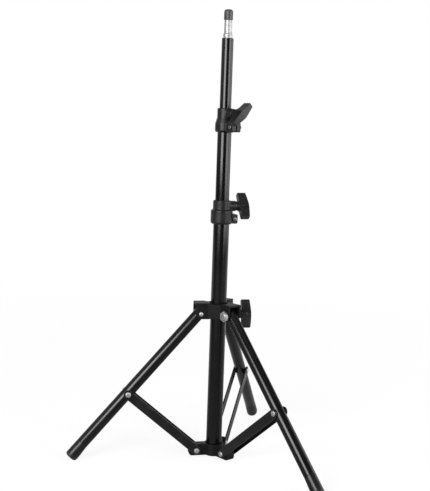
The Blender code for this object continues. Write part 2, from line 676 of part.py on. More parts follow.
def hub():
    """The sliding hub: a ring on the column, three forks for the legs and a boss for its knob."""
    slide = axis_empty("hub_axis", at(z=HUB_PIVOT_HEIGHT))
    low = -HUB_BELOW_PIVOT
    high = HUB_ABOVE_PIVOT - HUB_RING_STEP
    ring = [(0.0, high), (HUB_RING_R - 0.8 * MM, high), (HUB_RING_R, high - 0.8 * MM)]
    ring += [(HUB_RING_R, low + 0.8 * MM), (HUB_RING_R - 0.8 * MM, low), (0.0, low)]
    body = finish_mesh("hub", turned_mesh(ring, TUBE_STEPS), BLACK_PLASTIC, slide)
    added = []
    removed = []
    for number in range(LEG_COUNT):
        place = radial(leg_azimuth(number))
        arm = finish_mesh(f"hub_arm_form_{number + 1}",
                          prism_mesh(hub_arm_outline(), -CHEEK_OUTER, CHEEK_OUTER), parent=slide,
                          place=place)
        soften(arm, 0.8 * MM, 1)
        web = finish_mesh(f"hub_web_form_{number + 1}",
                          prism_mesh(hub_web_outline(), low + 0.8 * MM, high - 0.8 * MM, axis='Z'),
                          parent=slide, place=place)
        added += [arm, web]
        channel = box_mesh((HUB_RING_R, -CHEEK_INNER, low - MM),
                           (PIVOT_RADIUS + HUB_BELOW_PIVOT + MM, CHEEK_INNER, HUB_ABOVE_PIVOT - HUB_ROOF))
        removed.append(finish_mesh(f"hub_channel_form_{number + 1}", channel, parent=slide, place=place))
        hole = drill_mesh(BOLT_R + GAP, -2 * CHEEK_OUTER, 2 * CHEEK_OUTER)
        removed.append(finish_mesh(f"hub_pivot_form_{number + 1}", hole, parent=slide,
                                   place=radial(leg_azimuth(number), PIVOT_RADIUS) @ along_y()))
        pivot_bolt(number, slide)

    boss = finish_mesh("hub_boss_form",
                       box_mesh((HUB_RING_R - 2.0 * MM, -0.5 * HUB_BOSS_WIDTH, low),
                                (HUB_BOSS_REACH, 0.5 * HUB_BOSS_WIDTH, HUB_BOSS_TOP)), parent=slide,
                       place=radial(HUB_KNOB_AZIMUTH))
    soften(boss, 2.0 * MM, 2)
    added.append(boss)
    join(body, *added)

    screw_place = radial(HUB_KNOB_AZIMUTH, 0.0, -HUB_SCREW_DROP) @ along_x()
    screw_hole = drill_mesh(KNOB_SCREW_R + GAP, 0.6 * HUB_BORE, HUB_BOSS_REACH + MM)
    pocket = prism_mesh(hexagon(KNOB_NUT_FLATS + 2 * GAP), 0.5 * HUB_BORE, HUB_BORE + KNOB_NUT + 2 * GAP,
                        axis='Z')
    bore = rod_mesh(HUB_BORE, low - MM, high + MM, TUBE_STEPS)
    removed.append(finish_mesh("hub_bore_form", bore, parent=slide))
    removed.append(finish_mesh("hub_screw_hole_form", screw_hole, parent=slide, place=screw_place))
    removed.append(finish_mesh("hub_nut_pocket_form", pocket, parent=slide, place=screw_place))
    cut(body, *removed)
    knob_nut("hub_knob_nut", HUB_KNOB_AZIMUTH, HUB_BORE, -HUB_SCREW_DROP, slide)
    screw_tip = COLUMN_R + GAP + 0.5 * DRIFT
    knob("hub", HUB_KNOB_AZIMUTH, -HUB_SCREW_DROP, HUB_BOSS_REACH + GAP, screw_tip, HUB_KNOB_TURN, slide)
    return slide


def pivot_bolt(number, parent):
    """A leg's pivot bolt, round head on the anticlockwise side, locking nut on the other."""
    place = radial(leg_azimuth(number), PIVOT_RADIUS) @ along_y()
    face = CHEEK_OUTER + GAP
    end = -face - PIVOT_NUT - 0.4 * PIVOT_NUT_DOME
    profile = [(0.0, face + BOLT_HEAD), (0.45 * BOLT_HEAD_R, face + 0.94 * BOLT_HEAD)]
    profile += [(0.82 * BOLT_HEAD_R, face + 0.66 * BOLT_HEAD), (BOLT_HEAD_R, face + 0.25 * BOLT_HEAD)]
    profile += [(BOLT_HEAD_R, face), (BOLT_R, face), (BOLT_R, end + 0.5 * MM), (BOLT_R - 0.5 * MM, end)]
    profile.append((0.0, end))
    finish_mesh(f"leg_{number + 1}_pivot_bolt", turned_mesh(profile, SMALL_STEPS), BRIGHT_STEEL, parent,
                place)
    locking_nut(f"leg_{number + 1}_pivot_nut", PIVOT_NUT_FLATS, PIVOT_NUT, PIVOT_NUT_DOME, BOLT_R + GAP,
                -face - PIVOT_NUT, BRIGHT_STEEL, parent, place @ turn(math.radians(30), 'Z'))


def rivet(name, head_radius, parent, place):
    """A rivet through both straps, with a low domed head on each side."""
    face = STRAP_OUTER + 0.5 * GAP
    head = []
    for radius, height in ((0.0, 1.0), (0.6, 0.88), (1.0, 0.3), (1.0, 0.0)):
        head.append((radius * head_radius, height * RIVET_HEAD))
    profile = [(radius, face + height) for radius, height in head]
    profile += [(RIVET_R, face), (RIVET_R, -face)]
    profile += [(radius, -face - height) for radius, height in reversed(head)]
    finish_mesh(name, turned_mesh(profile, HOLE_STEPS), BRIGHT_STEEL, parent, place @ along_y())


def leg(number, hub_axis):
    """One leg: tube, foot and brace rivet, hanging from the hub pivot along local -Z."""
    place = radial(leg_azimuth(number), PIVOT_RADIUS) @ turn(-LEG_SPREAD, 'Y')
    axis = axis_empty(f"leg_{number + 1}_axis", place, hub_axis)
    end = -LEG_LENGTH + FOOT_LENGTH + GAP
    tube = finish_mesh(f"leg_{number + 1}_tube",
                       tube_mesh(LEG_R, LEG_R - LEG_WALL, end, LEG_ABOVE_PIVOT, 24), BLACK_PAINT, axis)
    for label, height, radius in (("pivot", 0.0, BOLT_R), ("brace", -LEG_TO_RIVET, RIVET_R)):
        hole = drill_mesh(radius + GAP, -2 * LEG_R, 2 * LEG_R)
        cut(tube, finish_mesh(f"leg_{number + 1}_{label}_hole_form", hole, parent=axis,
                              place=at(z=height) @ along_y()))
    foot(number, axis, end)
    rivet(f"leg_{number + 1}_brace_rivet", LEG_RIVET_HEAD_R, axis, at(z=-LEG_TO_RIVET))
    brace(number, axis)


def foot(number, axis, tube_end):
    """A rubber foot with a heel towards the column, cut flat where it stands on the ground."""
    low = -LEG_LENGTH
    high = low + FOOT_LENGTH
    body = finish_mesh(f"leg_{number + 1}_foot", foot_mesh(low, high), RUBBER, axis)
    tang = rod_mesh(LEG_R - LEG_WALL - GAP, high - 2.0 * MM, high + FOOT_TANG, SMALL_STEPS, 0.8 * MM)
    join(body, finish_mesh(f"foot_tang_form_{number + 1}", tang, parent=axis))
    size = 60.0 * MM
    below = box_mesh((-size, -size, -size), (size, size, 0.0))
    upright = radial(leg_azimuth(number), PIVOT_RADIUS + LEG_LENGTH * math.sin(LEG_SPREAD), GROUND)
    floor_form = finish_mesh(f"foot_flat_form_{number + 1}", below, place=upright)
    cut(body, floor_form)


def foot_outline(heel, inset):
    """The sole's outline: the tube's circle, drawn out towards the column by the heel."""
    radius = LEG_R - inset
    return arc((0.0, 0.0), radius, -78, 78, 7) + arc((-heel, 0.0), radius, 102, 258, 7)


def foot_mesh(low, high):
    """Lofts the foot from the tube's round section down to the heeled sole with its rounded edge."""
    bm = bmesh.new()
    levels = [(high, 0.0, 0.0), (high - 0.35 * FOOT_FLARE, 0.18 * FOOT_HEEL, 0.0)]
    levels += [(high - 0.7 * FOOT_FLARE, 0.7 * FOOT_HEEL, 0.0), (high - FOOT_FLARE, FOOT_HEEL, 0.0)]
    for step in range(4):
        angle = math.radians(30 * step)
        levels.append((low + FOOT_EDGE * (1 - math.sin(angle)), FOOT_HEEL,
                       FOOT_EDGE * (1 - math.cos(angle))))
    rings = []
    for height, heel, inset in levels:
        rings.append([bm.verts.new((x, y, height)) for x, y in foot_outline(heel, inset)])
    for upper, lower in zip(rings, rings[1:]):
        for index in range(len(upper)):
            after = (index + 1) % len(upper)
            bm.faces.new((upper[index], upper[after], lower[after], lower[index]))
    bm.faces.new(rings[0])
    bm.faces.new(rings[-1])
    return bm


def brace(number, leg_axis):
    """Two flat straps from the leg's rivet down to the spider, one on each side."""
    place = at(z=-LEG_TO_RIVET) @ turn(LEG_SPREAD + BRACE_SPREAD, 'Y')
    axis = axis_empty(f"brace_{number + 1}_axis", place, leg_axis)
    radius = 0.5 * STRAP_WIDTH
    outline = arc((0.0, 0.0), radius, 0, 180, 8) + arc((0.0, -BRACE_LENGTH), radius, 180, 360, 8)
    for side, sign in (("left", -1), ("right", 1)):
        name = f"brace_{number + 1}_{side}_strap"
        near = sign * STRAP_INNER
        far = sign * STRAP_OUTER
        strap = finish_mesh(name, prism_mesh(outline, min(near, far), max(near, far)), BLACK_PAINT, axis)
        for end, height in (("leg", 0.0), ("spider", -BRACE_LENGTH)):
            hole = drill_mesh(RIVET_R + GAP, -2 * STRAP_OUTER, 2 * STRAP_OUTER)
            cut(strap, finish_mesh(f"{name}_{end}_hole_form", hole, parent=axis,
                                   place=at(z=height) @ along_y()))
    rivet(f"brace_{number + 1}_spider_rivet", SPIDER_RIVET_HEAD_R, axis, at(z=-BRACE_LENGTH))


def stand():
    clear_scene()
    column()
    lower_spider()
    screw_height, face = collar("mid_collar", MID_KNOB_AZIMUTH, COLUMN_R, MID_R, MID_COLLAR_LOWER_WALL,
                                MID_COLLAR_SHOULDER, MID_EAR_REACH, MID_BOSS_LENGTH, COLUMN_TOP)
    knob("mid", MID_KNOB_AZIMUTH, screw_height, face + GAP, MID_R + GAP, MID_KNOB_TURN, None)
    mid = tubes()
    carried = axis_empty("top_collar_place", at(z=-MID_TOP), mid)
    screw_height, face = collar("top_collar", TOP_KNOB_AZIMUTH, MID_R, TOP_R, TOP_COLLAR_LOWER_WALL,
                                TOP_COLLAR_SHOULDER, TOP_EAR_REACH, TOP_BOSS_LENGTH, MID_TOP, carried)
    knob("top", TOP_KNOB_AZIMUTH, screw_height, face + GAP, TOP_R + GAP, TOP_KNOB_TURN, carried)
    hub_axis = hub()
    for number in range(LEG_COUNT):
        leg(number, hub_axis)


stand()
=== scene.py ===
"""Three-section light stand with a folding tripod, dressed and lit for its render.

Sizes are in metres and repeat the CAD's. The origin is on the column's axis, at its foot.
"""

import json
import math

import bmesh
import bpy
from mathutils import Matrix, Vector

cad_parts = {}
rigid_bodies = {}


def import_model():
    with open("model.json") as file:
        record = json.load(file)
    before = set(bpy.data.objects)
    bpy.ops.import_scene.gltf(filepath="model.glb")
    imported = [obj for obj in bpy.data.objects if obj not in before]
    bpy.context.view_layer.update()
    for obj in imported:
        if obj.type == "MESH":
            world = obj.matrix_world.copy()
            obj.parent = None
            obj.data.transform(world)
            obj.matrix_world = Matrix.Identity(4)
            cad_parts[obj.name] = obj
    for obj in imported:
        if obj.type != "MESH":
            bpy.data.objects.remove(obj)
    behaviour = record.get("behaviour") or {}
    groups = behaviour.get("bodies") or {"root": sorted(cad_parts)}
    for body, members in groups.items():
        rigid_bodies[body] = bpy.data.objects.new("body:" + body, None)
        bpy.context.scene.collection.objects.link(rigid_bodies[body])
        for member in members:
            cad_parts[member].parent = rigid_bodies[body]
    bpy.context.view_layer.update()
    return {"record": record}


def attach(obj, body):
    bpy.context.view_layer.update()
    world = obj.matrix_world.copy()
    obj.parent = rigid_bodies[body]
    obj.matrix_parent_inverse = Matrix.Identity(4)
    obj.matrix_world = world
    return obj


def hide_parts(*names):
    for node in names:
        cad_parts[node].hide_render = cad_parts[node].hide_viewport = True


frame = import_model()

MM = 0.001
GAP = 0.3 * MM

# How far a cutting form runs past the solid that it cuts
OVERRUN = 1.0 * MM

# How far a joined form starts inside its neighbour
ROOT = 2.0 * MM

# Column and the two inner tubes
COLUMN_R = 11.5 * MM
COLUMN_BORE = 10.3 * MM
COLUMN_FOOT = 2.0 * MM
COLUMN_TOP = 362.0 * MM
MID_R = 10.0 * MM
MID_BORE = 9.0 * MM
MID_LENGTH = 330.0 * MM
MID_TOP = 492.0 * MM
TOP_R = 8.25 * MM
TOP_BORE = 7.25 * MM
TOP_LENGTH = 330.0 * MM
TOP_TOP = 603.5 * MM
TUBE_LIP = 0.28 * MM
PLUG_DEPTH = 12.0 * MM
PLUG_EDGE = 0.7 * MM
MID_PLUG_FLANGE = 2.0 * MM
TOP_GUIDE_FLANGE = 6.0 * MM

# Clamp collars
COLLAR_HEIGHT = 34.0 * MM
COLLAR_UPPER_RING = 12.9 * MM
COLLAR_UPPER_WALL = 2.6 * MM
MID_COLLAR_LOWER_WALL = 4.0 * MM
TOP_COLLAR_LOWER_WALL = 3.5 * MM
MID_COLLAR_SHOULDER = 1.6 * MM
TOP_COLLAR_SHOULDER = 9.0 * MM
COLLAR_TOP_CHAMFER = 1.0 * MM
COLLAR_BOTTOM_CHAMFER = 2.2 * MM
COLLAR_EDGE = 1.2 * MM
COLLAR_SCREW_DROP = 8.3 * MM
COLLAR_SEAT_DROP = 7.0 * MM
BOSS_R = 7.5 * MM
BOSS_EDGE = 1.1 * MM
MID_BOSS_LENGTH = 7.7 * MM
TOP_BOSS_LENGTH = 9.0 * MM
SLIT = 1.6 * MM
EAR_WIDTH = 15.6 * MM
EAR_HEIGHT = 13.5 * MM
EAR_LIFT = 0.8 * MM
MID_EAR_REACH = 22.0 * MM
TOP_EAR_REACH = 25.0 * MM
EAR_ROOT = 1.5 * MM
EAR_EDGE = 2.4 * MM
RIB_HALF = 2.2 * MM
RIB_SINK = 0.5 * MM
RIB_ROOT = 1.5 * MM
RIB_RISE = 9.0 * MM
RIB_TIP_INSET = 1.0 * MM
RIB_END_INSET = 5.0 * MM
EAR_SCREW_R = 1.5 * MM
EAR_SCREW_INSET = 4.6 * MM
EAR_SCREW_PROUD = 0.6 * MM
EAR_SCREW_TAPER = 0.3 * MM
EAR_SCREW_TAPER_LENGTH = 0.4 * MM
EAR_HEAD_R = 2.9 * MM
EAR_HEAD = 2.0 * MM
EAR_HEAD_EDGE = 0.35 * MM
CROSS_HALF = 0.35 * MM
EAR_NUT_FLATS = 5.5 * MM
EAR_NUT = 2.4 * MM

# Clamp knobs
KNOB_SPAN = 41.4 * MM
KNOB_DEPTH = 13.6 * MM
KNOB_TIP_DEPTH = 12.0 * MM
KNOB_THICKNESS = 7.6 * MM
KNOB_MIDWING = 9.6 * MM
KNOB_HUB_R = 6.4 * MM
KNOB_STEM_R = 6.6 * MM
KNOB_STEM = 5.0 * MM
KNOB_SCREW_R = 3.0 * MM
KNOB_SOCKET = 12.0 * MM
KNOB_NUT_FLATS = 10.0 * MM
KNOB_NUT = 5.0 * MM
KNOB_EDGE = 1.0 * MM
KNOB_END_EDGE = 1.6 * MM
KNOB_TIP_BEVEL = 0.8 * MM
KNOB_TIP_BEVEL_LENGTH = 0.9 * MM
KNOB_STEM_EDGE = 0.6 * MM
KNOB_SCREW_EDGE = 0.7 * MM
MID_KNOB_AZIMUTH = math.radians(19.0)
TOP_KNOB_AZIMUTH = math.radians(-48.0)
HUB_KNOB_AZIMUTH = math.radians(12.4)
MID_KNOB_TURN = math.radians(-36.0)
TOP_KNOB_TURN = math.radians(-47.0)
HUB_KNOB_TURN = math.radians(-17.0)

# Spigot and its cap
SPIGOT_R = 5.4 * MM
SPIGOT_BASE_R = 6.4 * MM
SPIGOT_BASE = 5.5 * MM
SPIGOT_LENGTH = 24.6 * MM
SPIGOT_TANG = 16.0 * MM
SPIGOT_STUD_R = 3.1 * MM
SPIGOT_STUD = 9.5 * MM
SPIGOT_NECK_BEVEL = 1.0 * MM
SPIGOT_RIM = 0.6 * MM
SPIGOT_RIM_HEIGHT = 0.4 * MM
SPIGOT_EDGE = 0.3 * MM
CAP_R = 6.3 * MM
CAP_LENGTH = 14.2 * MM
CAP_CHAMFER = 2.2 * MM
CAP_CROWN = 0.4 * MM
CAP_SHOULDER = 0.8 * MM
CAP_SHOULDER_INSET = 0.3 * MM
CAP_EDGE = 0.5 * MM

# Legs, feet and braces
LEG_COUNT = 3
FIRST_LEG_AZIMUTH = math.radians(-47.6)
LEG_SPREAD = math.radians(41.2)
PIVOT_RADIUS = 27.5 * MM
LEG_TO_RIVET = 156.0 * MM
BRACE_LENGTH = 135.0 * MM
LEG_LENGTH = 279.0 * MM
LEG_R = 8.5 * MM
LEG_BORE = 7.5 * MM
LEG_ABOVE_PIVOT = 7.0 * MM
FOOT_LENGTH = 28.0 * MM
FOOT_FLARE = 20.0 * MM
FOOT_HEEL = 1.2 * MM
FOOT_EDGE = 3.2 * MM
FOOT_RIM = 0.35 * MM
FOOT_TANG = 16.0 * MM
FOOT_TANG_EDGE = 0.8 * MM
FOOT_GRIND_REACH = 60.0 * MM
GROUND = -0.963 * MM
STRAP_WIDTH = 13.0 * MM
STRAP_THICKNESS = 2.0 * MM
STRAP_EDGE = 0.32 * MM
RIVET_R = 2.2 * MM
LEG_RIVET_HEAD_R = 4.0 * MM
SPIDER_RIVET_HEAD_R = 3.9 * MM
RIVET_HEAD = 1.5 * MM

# Lower spider
SPIDER_PIVOT_HEIGHT = 8.5 * MM
SPIDER_HEIGHT = 17.0 * MM
SPIDER_ARM_NOSE = 10.4 * MM
SPIDER_HEEL = 3.8 * MM
SPIDER_BORE = 11.8 * MM
SPIDER_RING_R = 14.7 * MM
SPIDER_RING_EDGE = 0.7 * MM
SPIDER_ARM_EDGE = 1.3 * MM
KNUCKLE_HALF = 7.37 * MM

# Sliding hub
DRIFT = 1.303 * MM
HUB_BELOW_PIVOT = 7.7 * MM
HUB_ABOVE_PIVOT = 15.8 * MM
HUB_RING_STEP = 0.8 * MM
HUB_ROOF = 3.0 * MM
HUB_ARM_STEP_RADIUS = 18.5 * MM
HUB_WEB_REACH = 18.4 * MM
HUB_BOSS_REACH = 29.4 * MM
HUB_BOSS_WIDTH = 16.0 * MM
HUB_BOSS_TOP = 10.5 * MM
HUB_BOSS_EDGE = 2.0 * MM
HUB_SCREW_DROP = 2.0 * MM
HUB_RING_EDGE = 0.8 * MM
HUB_ARM_ROOT = 1.5 * MM
HUB_ARM_EDGE = 0.9 * MM
HUB_WEB_INSET = 0.8 * MM
HUB_WEB_TUCK = 0.5 * MM
HUB_WALL = 2.6 * MM
HUB_BORE = COLUMN_R + DRIFT + GAP
HUB_RING_R = HUB_BORE + HUB_WALL
CHEEK_INNER = 8.9 * MM
CHEEK_OUTER = 11.7 * MM
BOLT_R = 2.9 * MM
BOLT_HEAD_R = 3.4 * MM
BOLT_HEAD = 2.2 * MM
BOLT_CHAMFER = 0.5 * MM
PIVOT_NUT_FLATS = 13.6 * MM
PIVOT_NUT = 3.4 * MM
PIVOT_NUT_DOME = 1.2 * MM
PIVOT_NUT_TURN = math.radians(30.0)
NUT_BEVEL = 0.18 * MM
NUT_DOME_EDGE = 0.5 * MM
NUT_LEAD = 0.6 * MM
NUT_LEAD_TOP = 0.1 * MM
NUT_LEAD_DEPTH = 0.7 * MM

# Places that follow from the sizes
SLOT_TRAVEL = 1.5 * DRIFT
STRAP_INNER = LEG_R + GAP
STRAP_OUTER = STRAP_INNER + STRAP_THICKNESS
BRACE_SPREAD = math.asin(LEG_TO_RIVET * math.sin(LEG_SPREAD) / BRACE_LENGTH)
HUB_PIVOT_HEIGHT = (SPIDER_PIVOT_HEIGHT + LEG_TO_RIVET * math.cos(LEG_SPREAD)
                    + BRACE_LENGTH * math.cos(BRACE_SPREAD))

# Roundness of the turned pieces, grain of the moulded ones, and the angle where shading turns sharp
TUBE_STEPS = 128
LEG_STEPS = 96
SMALL_STEPS = 48
DRILL_STEPS = 32
VOXEL = 0.42 * MM
KNOB_VOXEL = 0.36 * MM
HUB_VOXEL = 0.46 * MM
NEARLY_STRAIGHT = math.radians(168.0)
SAME_POINT = 1e-7
SHARP_ANGLE = math.radians(32.0)
BEVELLED_SHARP_ANGLE = math.radians(35.0)

BODIES = frame["record"]["behaviour"]["bodies"]
BODY_OF = {member: body for body, members in BODIES.items() for member in members}


# Shapes

def at(x=0.0, y=0.0, z=0.0):
    return Matrix.Translation((x, y, z))


def turn(angle, axis):
    return Matrix.Rotation(angle, 4, axis)


def radial(azimuth, radius=0.0, height=0.0):
    """A place whose +X points outwards at the azimuth and whose +Y points along the tangent."""
    return turn(azimuth, 'Z') @ at(radius, 0.0, height)


def along_x():
    return turn(math.radians(90), 'Y')


def along_y():
    return turn(math.radians(-90), 'X')


def leg_azimuth(number):
    return FIRST_LEG_AZIMUTH + 2 * math.pi * number / LEG_COUNT


def leg_place(number):
    return radial(leg_azimuth(number), PIVOT_RADIUS, HUB_PIVOT_HEIGHT) @ turn(-LEG_SPREAD, 'Y')


def brace_place(number):
    return leg_place(number) @ at(z=-LEG_TO_RIVET) @ turn(LEG_SPREAD + BRACE_SPREAD, 'Y')


def arc(center, radius, start, end, steps):
    """Points on an arc in a plane, from start to end in degrees."""
    points = []
    for step in range(steps + 1):
        angle = math.radians(start + (end - start) * step / steps)
        points.append((center[0] + radius * math.cos(angle), center[1] + radius * math.sin(angle)))
    return points


def filleted(points, radius, closed=False, steps=4):
    """Rounds an outline's corners; a fillet keeps to half of its shorter side, and a flat corner stays."""
    out = []
    count = len(points)
    for index, point in enumerate(points):
        if not closed and index in (0, count - 1):
            out.append(point)
            continue
        here = Vector(point)
        before = Vector(points[index - 1]) - here
        after = Vector(points[(index + 1) % count]) - here
        if min(before.length, after.length) < SAME_POINT:
            continue
        inner = before.angle(after)
        if inner > NEARLY_STRAIGHT:
            out.append(point)
            continue
        reach = min(radius / math.tan(0.5 * inner), 0.48 * before.length, 0.48 * after.length)
        start = here + before.normalized() * reach
        end = here + after.normalized() * reach
        for step in range(steps + 1):
            share = step / steps
            bend = start * (1 - share) ** 2 + here * 2 * share * (1 - share) + end * share ** 2
            out.append((bend.x, bend.y))
    return out


def turned_mesh(profile, steps, closed=False):
    """Spins a profile of (radius, height) points about Z; a closed profile makes a ring."""
    bm = bmesh.new()
    verts = [bm.verts.new((max(radius, 0.0), 0.0, height)) for radius, height in profile]
    edges = [bm.edges.new(pair) for pair in zip(verts, verts[1:])]
    if closed:
        edges.append(bm.edges.new((verts[-1], verts[0])))
    bmesh.ops.spin(bm, geom=verts + edges, cent=(0, 0, 0), axis=(0, 0, 1), angle=2 * math.pi,
                   steps=steps, use_merge=True)
    bmesh.ops.remove_doubles(bm, verts=bm.verts, dist=SAME_POINT)
    return bm


def lathed(profile, edge, steps=TUBE_STEPS):
    return turned_mesh(filleted(profile, edge), steps)


def prism_mesh(outline, low, high, axis='Y'):
    """Extrudes a closed outline of (x, z) points along Y, or of (x, y) points along Z."""
    bm = bmesh.new()
    if axis == 'Y':
        verts = [bm.verts.new((a, low, b)) for a, b in outline]
        way = Vector((0.0, high - low, 0.0))
    else:
        verts = [bm.verts.new((a, b, low)) for a, b in outline]
        way = Vector((0.0, 0.0, high - low))
    face = bm.faces.new(verts)
    grown = bmesh.ops.extrude_face_region(bm, geom=[face])
    moved = [item for item in grown["geom"] if isinstance(item, bmesh.types.BMVert)]
    bmesh.ops.translate(bm, verts=moved, vec=way)
    return bm


def box_mesh(low, high):
    outline = [(low[0], low[1]), (high[0], low[1]), (high[0], high[1]), (low[0], high[1])]
    return prism_mesh(outline, low[2], high[2], axis='Z')


def rod_mesh(radius, low, high, steps=SMALL_STEPS, edge=0.0):
    profile = [(0.0, high), (radius, high), (radius, low), (0.0, low)]
    return turned_mesh(filleted(profile, edge) if edge else profile, steps)


def hexagon(flats):
    radius = flats / math.sqrt(3)
    return [(radius * math.cos(math.radians(60 * side)), radius * math.sin(math.radians(60 * side)))
            for side in range(6)]


def dome(radius, height):
    """Profile of a domed head from its crown down to its flat face, as (radius, height) points."""
    points = []
    for degrees in range(0, 91, 10):
        angle = math.radians(degrees)
        points.append((radius * math.sin(angle), height * (0.25 + 0.75 * math.cos(angle))))
    return points + [(radius, 0.0)]


def solid(name, bm, place=None):
    """Turns a bmesh into an object with smooth shading."""
    bmesh.ops.recalc_face_normals(bm, faces=bm.faces)
    mesh = bpy.data.meshes.new(name)
    bm.to_mesh(mesh)
    bm.free()
    mesh.shade_smooth()
    mesh.set_sharp_from_angle(angle=SHARP_ANGLE)
    obj = bpy.data.objects.new(name, mesh)
    bpy.context.scene.collection.objects.link(obj)
    if place is not None:
        obj.matrix_world = place
    return obj


def form(bm, place=None):
    """A helper that joins or cuts a piece and is removed with its step."""
    return solid("form", bm, place)


def step_of(obj, operation, forms):
    """Adds one Boolean step with these forms; settle() makes it real and removes the forms."""
    group = bpy.data.collections.new(f"{obj.name}_{operation.lower()}")
    bpy.context.scene.collection.children.link(group)
    for helper in forms:
        bpy.context.scene.collection.objects.unlink(helper)
        group.objects.link(helper)
    step = obj.modifiers.new(group.name, 'BOOLEAN')
    step.operation = operation
    step.solver = 'EXACT'
    step.operand_type = 'COLLECTION'
    step.collection = group
    return group


def round_edges(obj, width, segments, least_turn=40.0):
    bevel = obj.modifiers.new("edges", 'BEVEL')
    bevel.width = width
    bevel.segments = segments
    bevel.limit_method = 'ANGLE'
    bevel.angle_limit = math.radians(least_turn)


def settle(obj, groups, sharp=None):
    """Makes the modifiers' result the object's own mesh and removes the forms that shaped it."""
    bpy.context.view_layer.update()
    view = bpy.context.evaluated_depsgraph_get()
    mesh = bpy.data.meshes.new_from_object(obj.evaluated_get(view))
    old = obj.data
    obj.modifiers.clear()
    obj.data = mesh
    bpy.data.meshes.remove(old)
    for group in groups:
        for helper in list(group.objects):
            bpy.data.objects.remove(helper, do_unlink=True)
        bpy.data.collections.remove(group)
    if sharp:
        mesh.set_sharp_from_angle(angle=sharp)


def moulded(obj, added=(), removed=(), kept=(), voxel=VOXEL, passes=5):
    """Joins and cuts the forms, then rounds every edge as a moulding has them."""
    steps = (('INTERSECT', kept), ('UNION', added), ('DIFFERENCE', removed))
    groups = [step_of(obj, operation, forms) for operation, forms in steps if forms]
    grid = obj.modifiers.new("grid", 'REMESH')
    grid.mode = 'VOXEL'
    grid.voxel_size = voxel
    grid.use_smooth_shade = True
    ease = obj.modifiers.new("ease", 'SMOOTH')
    ease.factor = 0.5
    ease.iterations = passes
    settle(obj, groups)
    obj.data.shade_smooth()


# Finishes

ENAMEL_FLAT = (0.010, 0.010, 0.011)
ENAMEL_DEEP = (0.0025, 0.0025, 0.0027)
ENAMEL_PALE = (0.0045, 0.0045, 0.0048)
ENAMEL_RUBBED = (0.03, 0.0295, 0.0285)
ENAMEL_SPECK = (0.08, 0.079, 0.076)
STRAP_FLAT = (0.012, 0.012, 0.0125)
STRAP_DEEP = (0.005, 0.005, 0.0053)
STRAP_PALE = (0.010, 0.010, 0.0105)
STRAP_RUBBED = (0.045, 0.0445, 0.043)
PLASTIC_FLAT = (0.02, 0.02, 0.0205)
PLASTIC_MATT = (0.009, 0.009, 0.0093)
PLASTIC_POLISHED = (0.006, 0.006, 0.0062)
PLASTIC_DUST = (0.026, 0.0256, 0.0246)
RUBBER_FLAT = (0.010, 0.010, 0.0098)
RUBBER_CLEAN = (0.007, 0.007, 0.0068)
RUBBER_DUSTY = (0.060, 0.058, 0.055)
ZINC = (0.68, 0.675, 0.665)
BLACK_OXIDE = (0.30, 0.30, 0.305)
STEEL_FLAT = (0.78, 0.775, 0.765)
STEEL_CLEAN = (0.57, 0.566, 0.559)
STEEL_HANDLED = (0.48, 0.477, 0.47)
CLOUD_DARKENING = 0.78
WHITE = (1.0, 1.0, 1.0)


def tinted(color, tint):
    return tuple(tint * value for value in color)


def finish_tree(name, color, roughness, metallic=0.0):
    """A material with a flat color and roughness, which the caller's nodes then refine."""
    material = bpy.data.materials.new(name)
    material.use_nodes = True
    tree = material.node_tree
    shader = tree.nodes["Principled BSDF"]
    shader.inputs["Base Color"].default_value = (*color, 1.0)
    shader.inputs["Roughness"].default_value = roughness
    shader.inputs["Metallic"].default_value = metallic
    place = tree.nodes.new("ShaderNodeTexCoord").outputs["Object"]
    return material, tree, shader, place


def axes(tree, vector):
    node = tree.nodes.new("ShaderNodeSeparateXYZ")
    tree.links.new(vector, node.inputs["Vector"])
    return node.outputs


def stretched(tree, place, scale):
    node = tree.nodes.new("ShaderNodeMapping")
    node.inputs["Scale"].default_value = scale
    tree.links.new(place, node.inputs["Vector"])
    return node.outputs["Vector"]


def noise(tree, place, scale, detail=3.0, roughness=0.5):
    node = tree.nodes.new("ShaderNodeTexNoise")
    node.inputs["Scale"].default_value = scale
    node.inputs["Detail"].default_value = detail
    node.inputs["Roughness"].default_value = roughness
    tree.links.new(place, node.inputs["Vector"])
    return node.outputs["Fac"]


def spread(tree, value, span, result=(0.0, 1.0)):
    """Eases a value from one span of numbers to another."""
    node = tree.nodes.new("ShaderNodeMapRange")
    node.interpolation_type = 'SMOOTHSTEP'
    for label, number in zip(("From Min", "From Max", "To Min", "To Max"), (*span, *result)):
        node.inputs[label].default_value = number
    tree.links.new(value, node.inputs["Value"])
    return node.outputs["Result"]


def math_node(tree, operation, a, b):
    node = tree.nodes.new("ShaderNodeMath")
    node.operation = operation
    for socket, value in zip(node.inputs, (a, b)):
        if isinstance(value, (int, float)):
            socket.default_value = value
        else:
            tree.links.new(value, socket)
    return node.outputs["Value"]


def product(tree, a, b):
    return math_node(tree, 'MULTIPLY', a, b)


def total(tree, a, b):
    return math_node(tree, 'ADD', a, b)


def blend_color(tree, amount, first, second):
    node = tree.nodes.new("ShaderNodeMix")
    node.data_type = 'RGBA'
    tree.links.new(amount, node.inputs["Factor"])
    for label, value in (("A", first), ("B", second)):
        socket = next(s for s in node.inputs if s.name == label and s.type == 'RGBA')
        if isinstance(value, tuple):
            socket.default_value = (*value, 1.0)
        else:
            tree.links.new(value, socket)
    return next(s for s in node.outputs if s.type == 'RGBA')


def refine(tree, shader, color, roughness, height, distance, strength):
    """Gives the shader its color, its roughness and a relief as deep as the distance."""
    bump = tree.nodes.new("ShaderNodeBump")
    bump.inputs["Distance"].default_value = distance
    bump.inputs["Strength"].default_value = strength
    tree.links.new(color, shader.inputs["Base Color"])
    tree.links.new(roughness, shader.inputs["Roughness"])
    tree.links.new(height, bump.inputs["Height"])
    tree.links.new(bump.outputs["Normal"], shader.inputs["Normal"])


